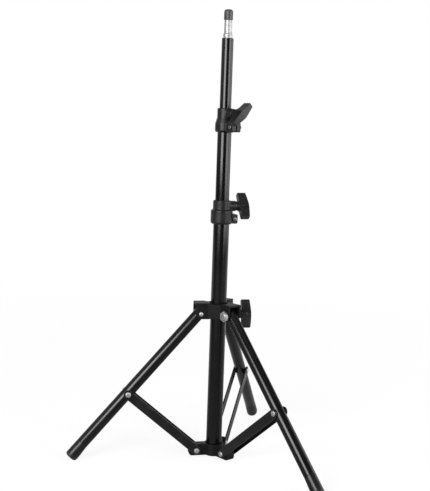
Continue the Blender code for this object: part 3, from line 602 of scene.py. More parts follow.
def gloss_enamel(name, sliding, rough_low, rough_high):
    """Black enamel on tube: fine orange peel, dust specks, and lengthwise rubbing where tubes slide."""
    material, tree, shader, place = finish_tree(name, ENAMEL_FLAT, 0.2)
    patches = noise(tree, place, scale=26.0, detail=4.0)
    peel = noise(tree, place, scale=950.0, detail=2.0)
    lengthwise = noise(tree, stretched(tree, place, (1.0, 1.0, 0.012)), scale=2600.0, roughness=0.65)
    hairline = spread(tree, lengthwise, (0.60, 0.74))
    zones = spread(tree, noise(tree, place, scale=14.0, detail=2.0), (0.42, 0.62))
    rubbed = product(tree, hairline, product(tree, zones, sliding))
    specks = spread(tree, noise(tree, place, scale=1400.0, detail=1.0), (0.74, 0.80))
    base = blend_color(tree, spread(tree, patches, (0.3, 0.7)), ENAMEL_DEEP, ENAMEL_PALE)
    worn = blend_color(tree, rubbed, base, ENAMEL_RUBBED)
    color = blend_color(tree, product(tree, specks, 0.2), worn, ENAMEL_SPECK)
    rough = spread(tree, patches, (0.25, 0.75), (rough_low, rough_high))
    rough = total(tree, rough, product(tree, rubbed, 0.12))
    rough = total(tree, rough, product(tree, specks, 0.2))
    height = math_node(tree, 'SUBTRACT', peel, product(tree, rubbed, 0.5))
    refine(tree, shader, color, rough, height, distance=0.005 * MM, strength=0.5)
    return material


def strap_enamel(name):
    """Black enamel on pressed steel strap, duller, with scuffs along the flats."""
    material, tree, shader, place = finish_tree(name, STRAP_FLAT, 0.34)
    patches = noise(tree, place, scale=60.0, detail=4.0)
    scuffs = noise(tree, stretched(tree, place, (1.0, 1.0, 0.03)), scale=1800.0, roughness=0.6)
    rubbed = spread(tree, scuffs, (0.62, 0.72), (0.0, 0.7))
    base = blend_color(tree, spread(tree, patches, (0.3, 0.7)), STRAP_DEEP, STRAP_PALE)
    color = blend_color(tree, rubbed, base, STRAP_RUBBED)
    rough = total(tree, spread(tree, patches, (0.25, 0.75), (0.26, 0.38)), product(tree, rubbed, 0.12))
    height = noise(tree, place, scale=1300.0)
    refine(tree, shader, color, rough, height, distance=0.02 * MM, strength=0.6)
    return material


def satin_plastic(name, tint=1.0, shine=0.5, coarse=0.0):
    """Black moulded nylon with a fine spark-eroded grain, finger polish and a little dust."""
    material, tree, shader, place = finish_tree(name, tinted(PLASTIC_FLAT, tint), 0.45)
    shader.inputs["Specular IOR Level"].default_value = shine
    patches = noise(tree, place, scale=75.0, detail=4.0)
    grain = noise(tree, place, scale=2600.0, detail=2.0, roughness=0.6)
    clumps = noise(tree, place, scale=420.0, detail=5.0, roughness=0.7)
    dust = spread(tree, clumps, (0.56, 0.76), (0.0, 0.5))
    polish = spread(tree, patches, (0.42, 0.66))
    base = blend_color(tree, polish, tinted(PLASTIC_MATT, tint), tinted(PLASTIC_POLISHED, tint))
    color = blend_color(tree, dust, base, tinted(PLASTIC_DUST, tint))
    rough = spread(tree, patches, (0.35, 0.7), (0.4 + coarse, 0.3 + coarse))
    rough = total(tree, rough, product(tree, grain, 0.06))
    refine(tree, shader, color, rough, grain, distance=0.03 * MM, strength=0.6)
    return material


def foot_rubber(name):
    """Black rubber: smooth and close to the enamel's shine, dulled and dusty towards the sole."""
    material, tree, shader, place = finish_tree(name, RUBBER_FLAT, 0.35)
    pores = noise(tree, place, scale=1500.0, detail=4.0, roughness=0.7)
    bloom = noise(tree, place, scale=130.0, detail=4.0, roughness=0.6)
    low = spread(tree, axes(tree, place)["Z"], (-LEG_LENGTH, -LEG_LENGTH + 0.35 * FOOT_LENGTH), (1.0, 0.0))
    dust = product(tree, low, spread(tree, bloom, (0.35, 0.7), (0.1, 0.8)))
    dust = total(tree, dust, spread(tree, bloom, (0.55, 0.8), (0.0, 0.12)))
    color = blend_color(tree, dust, RUBBER_CLEAN, RUBBER_DUSTY)
    rough = total(tree, spread(tree, pores, (0.3, 0.7), (0.26, 0.36)), product(tree, dust, 0.4))
    refine(tree, shader, color, rough, pores, distance=0.012 * MM, strength=0.6)
    return material


def plated_steel(name, color, rough_low, rough_high):
    """Plated or blackened steel: clouded, lightly scratched, darker and duller in random cloudy patches."""
    material, tree, shader, place = finish_tree(name, color, 0.25, metallic=1.0)
    clouds = noise(tree, place, scale=320.0, detail=4.0, roughness=0.6)
    fine = noise(tree, stretched(tree, place, (1.0, 0.15, 1.0)), scale=2200.0, detail=2.0)
    shade = blend_color(tree, spread(tree, clouds, (0.3, 0.72)), color, tinted(color, CLOUD_DARKENING))
    rough = total(tree, spread(tree, clouds, (0.25, 0.75), (rough_low, rough_high)),
                  spread(tree, fine, (0.55, 0.8), (0.0, 0.12)))
    refine(tree, shader, shade, rough, fine, distance=0.003 * MM, strength=0.4)
    return material


def turned_steel(name):
    """Bright turned steel: fine rings round the axis, with a few handling marks."""
    material, tree, shader, place = finish_tree(name, STEEL_FLAT, 0.2, metallic=1.0)
    rings = noise(tree, stretched(tree, place, (0.02, 0.02, 1.0)), scale=5200.0, roughness=0.7)
    marks = noise(tree, place, scale=240.0, detail=4.0, roughness=0.6)
    color = blend_color(tree, spread(tree, marks, (0.4, 0.75)), STEEL_CLEAN, STEEL_HANDLED)
    rough = total(tree, spread(tree, marks, (0.3, 0.75), (0.48, 0.58)),
                  spread(tree, rings, (0.4, 0.8), (0.0, 0.12)))
    refine(tree, shader, color, rough, rings, distance=0.002 * MM, strength=0.4)
    return material


ENAMEL = gloss_enamel("black_enamel", sliding=0.15, rough_low=0.19, rough_high=0.26)
SLID_ENAMEL = gloss_enamel("black_enamel_slid", sliding=0.85, rough_low=0.14, rough_high=0.2)
STRAP_ENAMEL = strap_enamel("black_strap_enamel")
PLASTIC = satin_plastic("black_moulded_plastic")
KNOB_PLASTIC = satin_plastic("black_knob_plastic", tint=0.85)
# The hub's and spider's plastic is rougher and less shiny, and a 0.9 tint darkens its colour: painted shade
# for their darker look under these lights.
HUB_PLASTIC_PAINTED_SHADE = satin_plastic("black_hub_plastic_painted_shade", tint=0.9, shine=0.22, coarse=0.15)
# Painted light: the cap's plastic is nine times lighter than the other black plastic, standing in for the
# broad highlight on the black cap.
CAP_PLASTIC_PAINTED_LIGHT = satin_plastic("cap_plastic_painted_light", tint=9.0)
RUBBER = foot_rubber("black_rubber")
PLATED = plated_steel("zinc_plated_steel", ZINC, rough_low=0.46, rough_high=0.58)
BLACKENED = plated_steel("blackened_steel", BLACK_OXIDE, rough_low=0.36, rough_high=0.48)
TURNED = turned_steel("turned_steel")


def stand_in(obj, node, material):
    """The piece stands in for the node in its body, with this finish, and the node is hidden."""
    obj.data.materials.clear()
    obj.data.materials.append(material)
    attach(obj, BODY_OF[node])
    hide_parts(node)


# Tubes

def tube_mesh(outer, bore, low, high, steps):
    profile = [(outer, high), (outer, low), (bore, low), (bore, high)]
    return turned_mesh(filleted(profile, TUBE_LIP, closed=True), steps, closed=True)


def tube(name, outer, bore, low, high, node):
    stand_in(solid(name, tube_mesh(outer, bore, low, high, TUBE_STEPS)), node, SLID_ENAMEL)


def plug(name, bore, end, flange_r, flange, node):
    """A plug in a tube's lower end, with a flange below it."""
    inner = bore - GAP
    top = end + PLUG_DEPTH
    profile = [(0.0, top), (inner, top), (inner, end - GAP), (flange_r, end - GAP)]
    profile += [(flange_r, end - flange), (0.0, end - flange)]
    stand_in(solid(name, lathed(profile, PLUG_EDGE)), node, PLASTIC)


def tubes():
    mid_end = MID_TOP - MID_LENGTH
    top_end = TOP_TOP - TOP_LENGTH
    tube("column_shell", COLUMN_R, COLUMN_BORE, COLUMN_FOOT, COLUMN_TOP, "column_tube")
    plug("column_foot_cap", COLUMN_BORE, COLUMN_FOOT, COLUMN_R, COLUMN_FOOT, "column_end_plug")
    tube("mid_shell", MID_R, MID_BORE, mid_end, MID_TOP, "mid_tube")
    plug("mid_foot_cap", MID_BORE, mid_end, MID_R, MID_PLUG_FLANGE, "mid_tube_end_plug")
    tube("top_shell", TOP_R, TOP_BORE, top_end, TOP_TOP, "top_tube")
    plug("top_guide_bush", TOP_BORE, top_end, MID_BORE - GAP, TOP_GUIDE_FLANGE, "top_tube_guide")


def spigot():
    base = TOP_TOP + GAP
    shoulder = base + SPIGOT_LENGTH
    profile = [(0.0, shoulder + SPIGOT_STUD), (SPIGOT_STUD_R, shoulder + SPIGOT_STUD)]
    profile += [(SPIGOT_STUD_R, shoulder), (SPIGOT_R, shoulder)]
    neck = base + SPIGOT_BASE
    rim = SPIGOT_BASE_R + SPIGOT_RIM
    profile += [(SPIGOT_R, neck + SPIGOT_NECK_BEVEL), (SPIGOT_BASE_R, neck)]
    profile += [(SPIGOT_BASE_R, base + SPIGOT_RIM_HEIGHT), (rim, base + SPIGOT_RIM_HEIGHT)]
    profile += [(rim, base), (TOP_BORE - GAP, base)]
    profile += [(TOP_BORE - GAP, base - SPIGOT_TANG), (0.0, base - SPIGOT_TANG)]
    stand_in(solid("spigot_pin", lathed(profile, SPIGOT_EDGE)), "spigot", TURNED)

    seat = shoulder + GAP
    top = seat + CAP_LENGTH
    roof = shoulder + SPIGOT_STUD + GAP
    bevel = top - CAP_CHAMFER
    cap = [(0.0, top), (0.5 * CAP_R, top), (CAP_R - CAP_CHAMFER * 0.7, top - CAP_CROWN)]
    cap += [(CAP_R - CAP_SHOULDER_INSET, bevel), (CAP_R, bevel - CAP_SHOULDER)]
    cap += [(CAP_R, seat), (SPIGOT_STUD_R + GAP, seat)]
    cap += [(SPIGOT_STUD_R + GAP, roof), (0.0, roof)]
    stand_in(solid("spigot_pull_cap", lathed(cap, CAP_EDGE)), "spigot_cap", CAP_PLASTIC_PAINTED_LIGHT)


# Collars and knobs

def collar(prefix, azimuth, lower_r, upper_r, lower_wall, shoulder, reach, boss_length, tube_end):
    """A stepped split clamp on the lower tube's end; gives its knob screw's height and its boss's reach."""
    low_bore = lower_r + GAP
    high_bore = upper_r + GAP
    low_outer = low_bore + lower_wall
    high_outer = high_bore + COLLAR_UPPER_WALL
    screw_height = tube_end + COLLAR_SEAT_DROP
    top = screw_height + COLLAR_SCREW_DROP
    bottom = top - COLLAR_HEIGHT
    step = top - COLLAR_UPPER_RING
    profile = [(0.0, top), (high_outer - COLLAR_TOP_CHAMFER, top), (high_outer, top - COLLAR_TOP_CHAMFER)]
    profile += [(high_outer, step), (low_outer, step - shoulder)]
    profile += [(low_outer, bottom + COLLAR_BOTTOM_CHAMFER),
                (low_outer - COLLAR_BOTTOM_CHAMFER * 0.8, bottom), (0.0, bottom)]
    body = solid(f"{prefix}_clamp_collar", lathed(profile, COLLAR_EDGE))
    across = radial(azimuth, 0.0, screw_height) @ along_x()
    face = high_outer + boss_length
    ear_place = radial(azimuth, 0.0, bottom + EAR_LIFT)
    root = lower_r + EAR_ROOT
    side = filleted([(root, 0.0), (reach, 0.0), (reach, EAR_HEIGHT), (root, EAR_HEIGHT)], EAR_EDGE,
                    closed=True, steps=6)
    ears = form(prism_mesh(side, -0.5 * EAR_WIDTH, 0.5 * EAR_WIDTH), ear_place)
    boss = form(rod_mesh(BOSS_R, 0.5 * upper_r, face, TUBE_STEPS, BOSS_EDGE), across)
    rib_foot = EAR_HEIGHT - RIB_SINK
    gusset = [(low_outer - RIB_ROOT, rib_foot), (reach - RIB_END_INSET, rib_foot),
              (high_outer - RIB_TIP_INSET, EAR_HEIGHT + RIB_RISE)]
    rib = form(prism_mesh(gusset, -RIB_HALF, RIB_HALF), ear_place)

    seat = tube_end + GAP
    bores = [(0.0, top + OVERRUN), (high_bore, top + OVERRUN), (high_bore, seat), (low_bore, seat)]
    bores += [(low_bore, bottom - OVERRUN), (0.0, bottom - OVERRUN)]
    slit = box_mesh((0.5 * low_bore, -0.5 * SLIT, bottom - OVERRUN),
                    (reach + OVERRUN, 0.5 * SLIT, step - shoulder))
    hole = rod_mesh(KNOB_SCREW_R + GAP, 0.6 * upper_r, face + OVERRUN)
    screw_place = radial(azimuth, reach - EAR_SCREW_INSET, bottom + EAR_LIFT + 0.5 * EAR_HEIGHT) @ along_y()
    ear_hole = rod_mesh(EAR_SCREW_R + GAP, -EAR_WIDTH, EAR_WIDTH)
    cuts = [form(turned_mesh(bores, TUBE_STEPS)), form(slit, radial(azimuth)), form(hole, across),
            nut_pocket(upper_r, high_bore, across), form(ear_hole, screw_place)]
    moulded(body, [ears, boss, rib], cuts)
    stand_in(body, f"{prefix}_collar", PLASTIC)
    captive_nut(prefix, high_bore, across)
    ear_fastener(prefix, screw_place)
    return screw_height, face


def nut_pocket(inside, bore, across):
    """The hexagonal pocket in a bore's wall for a clamp knob's captive nut."""
    outline = hexagon(KNOB_NUT_FLATS + 2 * GAP)
    return form(prism_mesh(outline, 0.5 * inside, bore + KNOB_NUT + 2 * GAP, axis='Z'), across)


def captive_nut(prefix, bore, across):
    hex_nut(f"{prefix}_pocket_nut", KNOB_NUT_FLATS, KNOB_NUT, KNOB_SCREW_R + GAP, bore + GAP,
            f"{prefix}_knob_nut", PLATED, across)


def ear_fastener(prefix, place):
    """The pan head screw through both ears, with a cross recess, and its nut."""
    face = 0.5 * EAR_WIDTH + GAP
    end = face + EAR_NUT + EAR_SCREW_PROUD
    profile = [(0.0, end), (EAR_SCREW_R - EAR_SCREW_TAPER, end), (EAR_SCREW_R, end - EAR_SCREW_TAPER_LENGTH)]
    profile += [(EAR_SCREW_R, -face), (EAR_HEAD_R, -face), (EAR_HEAD_R, -face - 0.5 * EAR_HEAD)]
    profile += [(0.78 * EAR_HEAD_R, -face - 0.87 * EAR_HEAD), (0.35 * EAR_HEAD_R, -face - EAR_HEAD)]
    profile.append((0.0, -face - EAR_HEAD))
    screw = solid(f"{prefix}_ear_screw", lathed(profile, EAR_HEAD_EDGE, SMALL_STEPS), place)
    arm = 0.55 * EAR_HEAD_R
    slots = []
    for half_x, half_y in ((arm, CROSS_HALF), (CROSS_HALF, arm)):
        slot = box_mesh((-half_x, -half_y, -face - 2 * EAR_HEAD), (half_x, half_y, -face - 0.45 * EAR_HEAD))
        slots.append(form(slot, place))
    settle(screw, [step_of(screw, 'DIFFERENCE', slots)])
    stand_in(screw, f"{prefix}_collar_screw", BLACKENED)
    hex_nut(f"{prefix}_ear_nut", EAR_NUT_FLATS, EAR_NUT, EAR_SCREW_R + GAP, face, f"{prefix}_collar_nut",
            BLACKENED, place)


def nut_blank(flats, base, thickness):
    """The turned form that rounds off a nut's corners."""
    wide = 0.62 * flats
    return turned_mesh([(0.0, base + thickness), (0.5 * flats, base + thickness),
                        (wide, base + 0.78 * thickness), (wide, base + 0.22 * thickness),
                        (0.5 * flats, base), (0.0, base)], SMALL_STEPS)


def hex_nut(name, flats, thickness, hole, base, node, material, place, crown=0.0):
    """A hexagonal nut from its base up, with a domed collar below the base where a crown is given."""
    end = base + thickness
    nut = solid(name, prism_mesh(hexagon(flats), base - OVERRUN, end + OVERRUN, axis='Z'), place)
    groups = [step_of(nut, 'INTERSECT', [form(nut_blank(flats, base, thickness), place)])]
    if crown:
        radius = 0.4 * flats
        middle = base + 0.5 * thickness
        ring = [(0.0, middle), (radius, middle), (radius, base - 0.55 * crown),
                (0.86 * radius, base - crown), (0.0, base - crown)]
        ring_form = lathed(ring, NUT_DOME_EDGE, SMALL_STEPS)
        groups.append(step_of(nut, 'UNION', [form(ring_form, place)]))
    lead = hole + NUT_LEAD
    bore = [(0.0, end + OVERRUN), (lead, end + OVERRUN), (lead, end - NUT_LEAD_TOP),
            (hole, end - NUT_LEAD_DEPTH), (hole, base - crown - OVERRUN), (0.0, base - crown - OVERRUN)]
    groups.append(step_of(nut, 'DIFFERENCE', [form(turned_mesh(bore, SMALL_STEPS), place)]))
    round_edges(nut, NUT_BEVEL, 2, least_turn=35.0)
    settle(nut, groups, BEVELLED_SHARP_ANGLE)
    stand_in(nut, node, material)


def knob_side_outline():
    """Side view of the T: flat inner faces, outer face bowed like a shallow roof."""
    half = 0.5 * KNOB_SPAN
    inner = KNOB_STEM
    outline = [(inner, -half), (inner + KNOB_TIP_DEPTH, -half)]
    bow = KNOB_DEPTH - KNOB_TIP_DEPTH
    for step in range(1, 24):
        share = -1.0 + step / 12.0
        outline.append((inner + KNOB_TIP_DEPTH + bow * math.cos(0.5 * math.pi * share) ** 0.8, half * share))
    outline += [(inner + KNOB_TIP_DEPTH, half), (inner, half), (inner, KNOB_STEM_R)]
    outline += [(0.55 * inner, 0.75 * KNOB_STEM_R), (0.55 * inner, -0.75 * KNOB_STEM_R)]
    outline.append((inner, -KNOB_STEM_R))
    return filleted(outline, KNOB_EDGE, closed=True)


def knob_end_outline():
    """End view of the T: a spindle, thick about the screw and thinner towards the wings' tips."""
    half = 0.5 * KNOB_SPAN
    tip = 0.5 * KNOB_THICKNESS
    wing = 0.5 * KNOB_MIDWING
    middle = 0.55 * half
    reach = math.degrees(math.atan2(middle, wing) - math.acos(KNOB_HUB_R / math.hypot(wing, middle)))
    side = [(tip - KNOB_TIP_BEVEL, -half), (tip, -half + KNOB_TIP_BEVEL_LENGTH), (wing, -middle)]
    side += arc((0.0, 0.0), KNOB_HUB_R, -reach, reach, 8)
    side += [(wing, middle), (tip, half - KNOB_TIP_BEVEL_LENGTH), (tip - KNOB_TIP_BEVEL, half)]
    return filleted(side + [(-y, -z) for y, z in side], KNOB_END_EDGE, closed=True)


def knob(prefix, azimuth, height, inner_radius, tip_radius, turned_by):
    """A T-shaped clamp knob and the steel screw fixed in it."""
    place = radial(azimuth, inner_radius, height) @ turn(turned_by, 'X')
    across = place @ along_x()
    handle = solid(f"{prefix}_clamp_knob",
                   prism_mesh(knob_side_outline(), -KNOB_HUB_R - OVERRUN, KNOB_HUB_R + OVERRUN), place)
    end = form(prism_mesh(knob_end_outline(), -2 * KNOB_DEPTH, 0.0, axis='Z'),
               place @ turn(math.radians(-90), 'Y') @ turn(math.radians(90), 'Z'))
    stem_end = KNOB_STEM + 0.5 * KNOB_DEPTH
    stem = form(rod_mesh(KNOB_STEM_R, 0.0, stem_end, TUBE_STEPS, KNOB_STEM_EDGE), across)
    socket = form(rod_mesh(KNOB_SCREW_R + GAP, -OVERRUN, KNOB_SOCKET), across)
    moulded(handle, [stem], [socket], [end], voxel=KNOB_VOXEL, passes=6)
    stand_in(handle, f"{prefix}_knob_handle", KNOB_PLASTIC)
    tip = tip_radius - inner_radius
    screw = solid(f"{prefix}_clamp_screw",
                  rod_mesh(KNOB_SCREW_R, tip, KNOB_SOCKET - GAP, SMALL_STEPS, KNOB_SCREW_EDGE), across)
    stand_in(screw, f"{prefix}_knob_screw", PLATED)


def clamps():
    height, face = collar("mid", MID_KNOB_AZIMUTH, COLUMN_R, MID_R, MID_COLLAR_LOWER_WALL,
                          MID_COLLAR_SHOULDER, MID_EAR_REACH, MID_BOSS_LENGTH, COLUMN_TOP)
    knob("mid", MID_KNOB_AZIMUTH, height, face + GAP, MID_R + GAP, MID_KNOB_TURN)
    height, face = collar("top", TOP_KNOB_AZIMUTH, MID_R, TOP_R, TOP_COLLAR_LOWER_WALL,
                          TOP_COLLAR_SHOULDER, TOP_EAR_REACH, TOP_BOSS_LENGTH, MID_TOP)
    knob("top", TOP_KNOB_AZIMUTH, height, face + GAP, TOP_R + GAP, TOP_KNOB_TURN)


# Lower spider and hub

def spider_hole_outline(number):
    """A round hole for the first brace's rivet, and slots for the other two."""
    radius = RIVET_R + GAP
    if number == 0:
        return arc((0.0, 0.0), radius, 0, 360, 24)[:-1]
    return arc((SLOT_TRAVEL, 0.0), radius, -90, 90, 10) + arc((-SLOT_TRAVEL, 0.0), radius, 90, 270, 10)


def spider():
    ring = [(0.0, SPIDER_HEIGHT), (SPIDER_RING_R, SPIDER_HEIGHT), (SPIDER_RING_R, 0.0), (0.0, 0.0)]
    body = solid("lower_spider_casting", lathed(ring, SPIDER_RING_EDGE))
    nose = PIVOT_RADIUS + SPIDER_ARM_NOSE
    root = SPIDER_RING_R - ROOT
    upper = SPIDER_HEIGHT - SPIDER_PIVOT_HEIGHT
    side = [(root, 0.0), (nose - SPIDER_HEEL, 0.0)]
    side += arc((nose - SPIDER_HEEL, SPIDER_HEEL), SPIDER_HEEL, -75, 0, 6)
    side += arc((nose - upper, SPIDER_PIVOT_HEIGHT), upper, 0, 90, 14)
    side.append((root, SPIDER_HEIGHT))
    added = []
    removed = [form(rod_mesh(SPIDER_BORE, -OVERRUN, SPIDER_HEIGHT + OVERRUN, TUBE_STEPS))]
    for number in range(LEG_COUNT):
        arm = form(prism_mesh(side, -KNUCKLE_HALF, KNUCKLE_HALF), radial(leg_azimuth(number)))
        round_edges(arm, SPIDER_ARM_EDGE, 4)
        added.append(arm)
        hole = prism_mesh(spider_hole_outline(number), -KNUCKLE_HALF - OVERRUN, KNUCKLE_HALF + OVERRUN)
        removed.append(form(hole, radial(leg_azimuth(number), PIVOT_RADIUS, SPIDER_PIVOT_HEIGHT)))
    moulded(body, added, removed)
    stand_in(body, "lower_spider", HUB_PLASTIC_PAINTED_SHADE)


def hub_web_outline():
    """Plan of the web that fills the corner between one arm and the next."""
    deep = (HUB_RING_R - 0.5 * ROOT, CHEEK_INNER - ROOT)
    near = (HUB_WEB_REACH, CHEEK_OUTER - HUB_WEB_TUCK)
    onward = 2 * math.pi / LEG_COUNT
    outline = [deep, near]
    for x, y in (near, deep):
        outline.append((x * math.cos(onward) + y * math.sin(onward),
                        x * math.sin(onward) - y * math.cos(onward)))
    inner = HUB_RING_R - ROOT
    outline.append((inner * math.cos(0.5 * onward), inner * math.sin(0.5 * onward)))
    return outline


def hub():
    low = -HUB_BELOW_PIVOT
    high = HUB_ABOVE_PIVOT - HUB_RING_STEP
    base = at(z=HUB_PIVOT_HEIGHT)
    ring = [(0.0, high), (HUB_RING_R, high), (HUB_RING_R, low), (0.0, low)]
    body = solid("sliding_hub", lathed(ring, HUB_RING_EDGE), base)
    root = HUB_RING_R - HUB_ARM_ROOT
    side = [(root, low)]
    side += arc((PIVOT_RADIUS, 0.0), HUB_BELOW_PIVOT, -90, 0, 14)
    side += [(PIVOT_RADIUS + HUB_BELOW_PIVOT, HUB_ABOVE_PIVOT), (HUB_ARM_STEP_RADIUS, HUB_ABOVE_PIVOT)]
    side += [(HUB_ARM_STEP_RADIUS - HUB_RING_STEP, high), (root, high)]
    added = []
    removed = []
    for number in range(LEG_COUNT):
        place = base @ radial(leg_azimuth(number))
        arm = form(prism_mesh(side, -CHEEK_OUTER, CHEEK_OUTER), place)
        round_edges(arm, HUB_ARM_EDGE, 3)
        web = prism_mesh(hub_web_outline(), low + HUB_WEB_INSET, high - HUB_WEB_INSET, axis='Z')
        added += [arm, form(web, place)]
        channel = box_mesh((HUB_RING_R, -CHEEK_INNER, low - OVERRUN),
                           (PIVOT_RADIUS + HUB_BELOW_PIVOT + OVERRUN, CHEEK_INNER,
                            HUB_ABOVE_PIVOT - HUB_ROOF))
        removed.append(form(channel, place))
        pivot = base @ radial(leg_azimuth(number), PIVOT_RADIUS) @ along_y()
        removed.append(form(rod_mesh(BOLT_R + GAP, -2 * CHEEK_OUTER, 2 * CHEEK_OUTER), pivot))
    boss = form(box_mesh((HUB_RING_R - ROOT, -0.5 * HUB_BOSS_WIDTH, low),
                         (HUB_BOSS_REACH, 0.5 * HUB_BOSS_WIDTH, HUB_BOSS_TOP)),
                base @ radial(HUB_KNOB_AZIMUTH))
    round_edges(boss, HUB_BOSS_EDGE, 5)
    added.append(boss)
    across = base @ radial(HUB_KNOB_AZIMUTH, 0.0, -HUB_SCREW_DROP) @ along_x()
    removed.append(form(rod_mesh(HUB_BORE, low - OVERRUN, high + OVERRUN, TUBE_STEPS), base))
    hole = rod_mesh(KNOB_SCREW_R + GAP, 0.6 * HUB_BORE, HUB_BOSS_REACH + OVERRUN)
    removed += [form(hole, across), nut_pocket(HUB_BORE, HUB_BORE, across)]
    moulded(body, added, removed, voxel=HUB_VOXEL, passes=8)
    stand_in(body, "hub", HUB_PLASTIC_PAINTED_SHADE)
    captive_nut("hub", HUB_BORE, across)
    knob("hub", HUB_KNOB_AZIMUTH, HUB_PIVOT_HEIGHT - HUB_SCREW_DROP, HUB_BOSS_REACH + GAP,
         COLUMN_R + GAP + 0.5 * DRIFT, HUB_KNOB_TURN)
    for number in range(LEG_COUNT):
        pivot_bolt(number)


def pivot_bolt(number):
    """A leg's pivot bolt with its domed head, and its locking nut, clockwise of the leg seen from above."""
    place = radial(leg_azimuth(number), PIVOT_RADIUS, HUB_PIVOT_HEIGHT) @ along_y()
    face = CHEEK_OUTER + GAP
    end = -face - PIVOT_NUT - 0.4 * PIVOT_NUT_DOME
    profile = [(radius, face + height) for radius, height in dome(BOLT_HEAD_R, BOLT_HEAD)]
    profile += [(BOLT_R, face), (BOLT_R, end + BOLT_CHAMFER), (BOLT_R - BOLT_CHAMFER, end), (0.0, end)]
    name = f"leg_{number + 1}"
    bolt = solid(f"{name}_pivot_pin", turned_mesh(profile, SMALL_STEPS), place)
    stand_in(bolt, f"{name}_pivot_bolt", PLATED)
    hex_nut(f"{name}_lock_nut", PIVOT_NUT_FLATS, PIVOT_NUT, BOLT_R + GAP, -face - PIVOT_NUT,
            f"{name}_pivot_nut", PLATED, place @ turn(PIVOT_NUT_TURN, 'Z'), PIVOT_NUT_DOME)


# Legs and braces

def rivet(name, node, head_radius, place):
    face = STRAP_OUTER + 0.5 * GAP
    head = dome(head_radius, RIVET_HEAD)
    profile = [(radius, face + height) for radius, height in head]
    profile += [(RIVET_R, face), (RIVET_R, -face)]
    profile += [(radius, -face - height) for radius, height in reversed(head)]
    stand_in(solid(name, turned_mesh(profile, SMALL_STEPS), place @ along_y()), node, PLATED)


def drill(place, height, radius, reach, steps=SMALL_STEPS):
    """A hole across a leg or a strap, with its clearance."""
    return form(rod_mesh(radius + GAP, -reach, reach, steps), place @ at(z=height) @ along_y())


def leg(number):
    place = leg_place(number)
    end = -LEG_LENGTH + FOOT_LENGTH + GAP
    name = f"leg_{number + 1}"
    shell = solid(f"{name}_shell", tube_mesh(LEG_R, LEG_BORE, end, LEG_ABOVE_PIVOT, LEG_STEPS), place)
    drills = [drill(place, 0.0, BOLT_R, 2 * LEG_R), drill(place, -LEG_TO_RIVET, RIVET_R, 2 * LEG_R)]
    settle(shell, [step_of(shell, 'DIFFERENCE', drills)], SHARP_ANGLE)
    stand_in(shell, f"{name}_tube", ENAMEL)
    foot(number, place)
    rivet(f"{name}_strap_rivet", f"{name}_brace_rivet", LEG_RIVET_HEAD_R, place @ at(z=-LEG_TO_RIVET))


def foot_ring(heel, inset):
    """Two arcs of nearly half a circle, the one towards the column moved back by the heel."""
    radius = LEG_R - inset
    return arc((0.0, 0.0), radius, -84, 84, 24) + arc((-heel, 0.0), radius, 96, 264, 24)


def foot(number, place):
    """A rubber foot with a heel towards the column, ground flat where it stands."""
    low = -LEG_LENGTH
    high = low + FOOT_LENGTH
    rim = high - FOOT_RIM
    levels = [(high, 0.0, FOOT_RIM), (rim, 0.0, 0.0)]
    for step in range(1, 9):
        share = step / 8
        ease = share * share * (3 - 2 * share)
        levels.append((rim - (FOOT_FLARE - FOOT_RIM) * share, FOOT_HEEL * ease, 0.0))
    for step in range(9):
        angle = math.radians(11.25 * step)
        levels.append((low + FOOT_EDGE * (1 - math.sin(angle)), FOOT_HEEL, FOOT_EDGE * (1 - math.cos(angle))))
    bm = bmesh.new()
    rings = []
    for height, heel, inset in levels:
        rings.append([bm.verts.new((x, y, height)) for x, y in foot_ring(heel, inset)])
    for upper, lower in zip(rings, rings[1:]):
        for index in range(len(upper)):
            after = (index + 1) % len(upper)
            bm.faces.new((upper[index], upper[after], lower[after], lower[index]))
    bm.faces.new(rings[0])
    bm.faces.new(rings[-1])
    body = solid(f"leg_{number + 1}_rubber_foot", bm, place)
    tang = form(rod_mesh(LEG_BORE - GAP, high - ROOT, high + FOOT_TANG, SMALL_STEPS, FOOT_TANG_EDGE), place)
    wide = FOOT_GRIND_REACH
    upright = radial(leg_azimuth(number), PIVOT_RADIUS + LEG_LENGTH * math.sin(LEG_SPREAD), GROUND)
    grinder = form(box_mesh((-wide, -wide, -wide), (wide, wide, 0.0)), upright)
    groups = [step_of(body, 'UNION', [tang]), step_of(body, 'DIFFERENCE', [grinder])]
    settle(body, groups, SHARP_ANGLE)
    stand_in(body, f"leg_{number + 1}_foot", RUBBER)


def brace(number):
    name = f"brace_{number + 1}"
    place = brace_place(number)
    radius = 0.5 * STRAP_WIDTH
    outline = arc((0.0, 0.0), radius, 0, 180, 32) + arc((0.0, -BRACE_LENGTH), radius, 180, 360, 32)
    for side, sign in (("left", -1), ("right", 1)):
        near = sign * STRAP_INNER
        far = sign * STRAP_OUTER
        strap = solid(f"{name}_{side}_flat", prism_mesh(outline, min(near, far), max(near, far)), place)
        drills = [drill(place, height, RIVET_R, 2 * STRAP_OUTER, DRILL_STEPS)
                  for height in (0.0, -BRACE_LENGTH)]
        groups = [step_of(strap, 'DIFFERENCE', drills)]
        round_edges(strap, STRAP_EDGE, 3)
        settle(strap, groups, BEVELLED_SHARP_ANGLE)
        stand_in(strap, f"{name}_{side}_strap", STRAP_ENAMEL)
    rivet(f"{name}_foot_rivet", f"{name}_spider_rivet", SPIDER_RIVET_HEAD_R, place @ at(z=-BRACE_LENGTH))


tubes()
spigot()
clamps()
spider()
hub()
for leg_number in range(LEG_COUNT):
    leg(leg_number)
    brace(leg_number)


# Studio: places are in metres, and picture measures in pixels

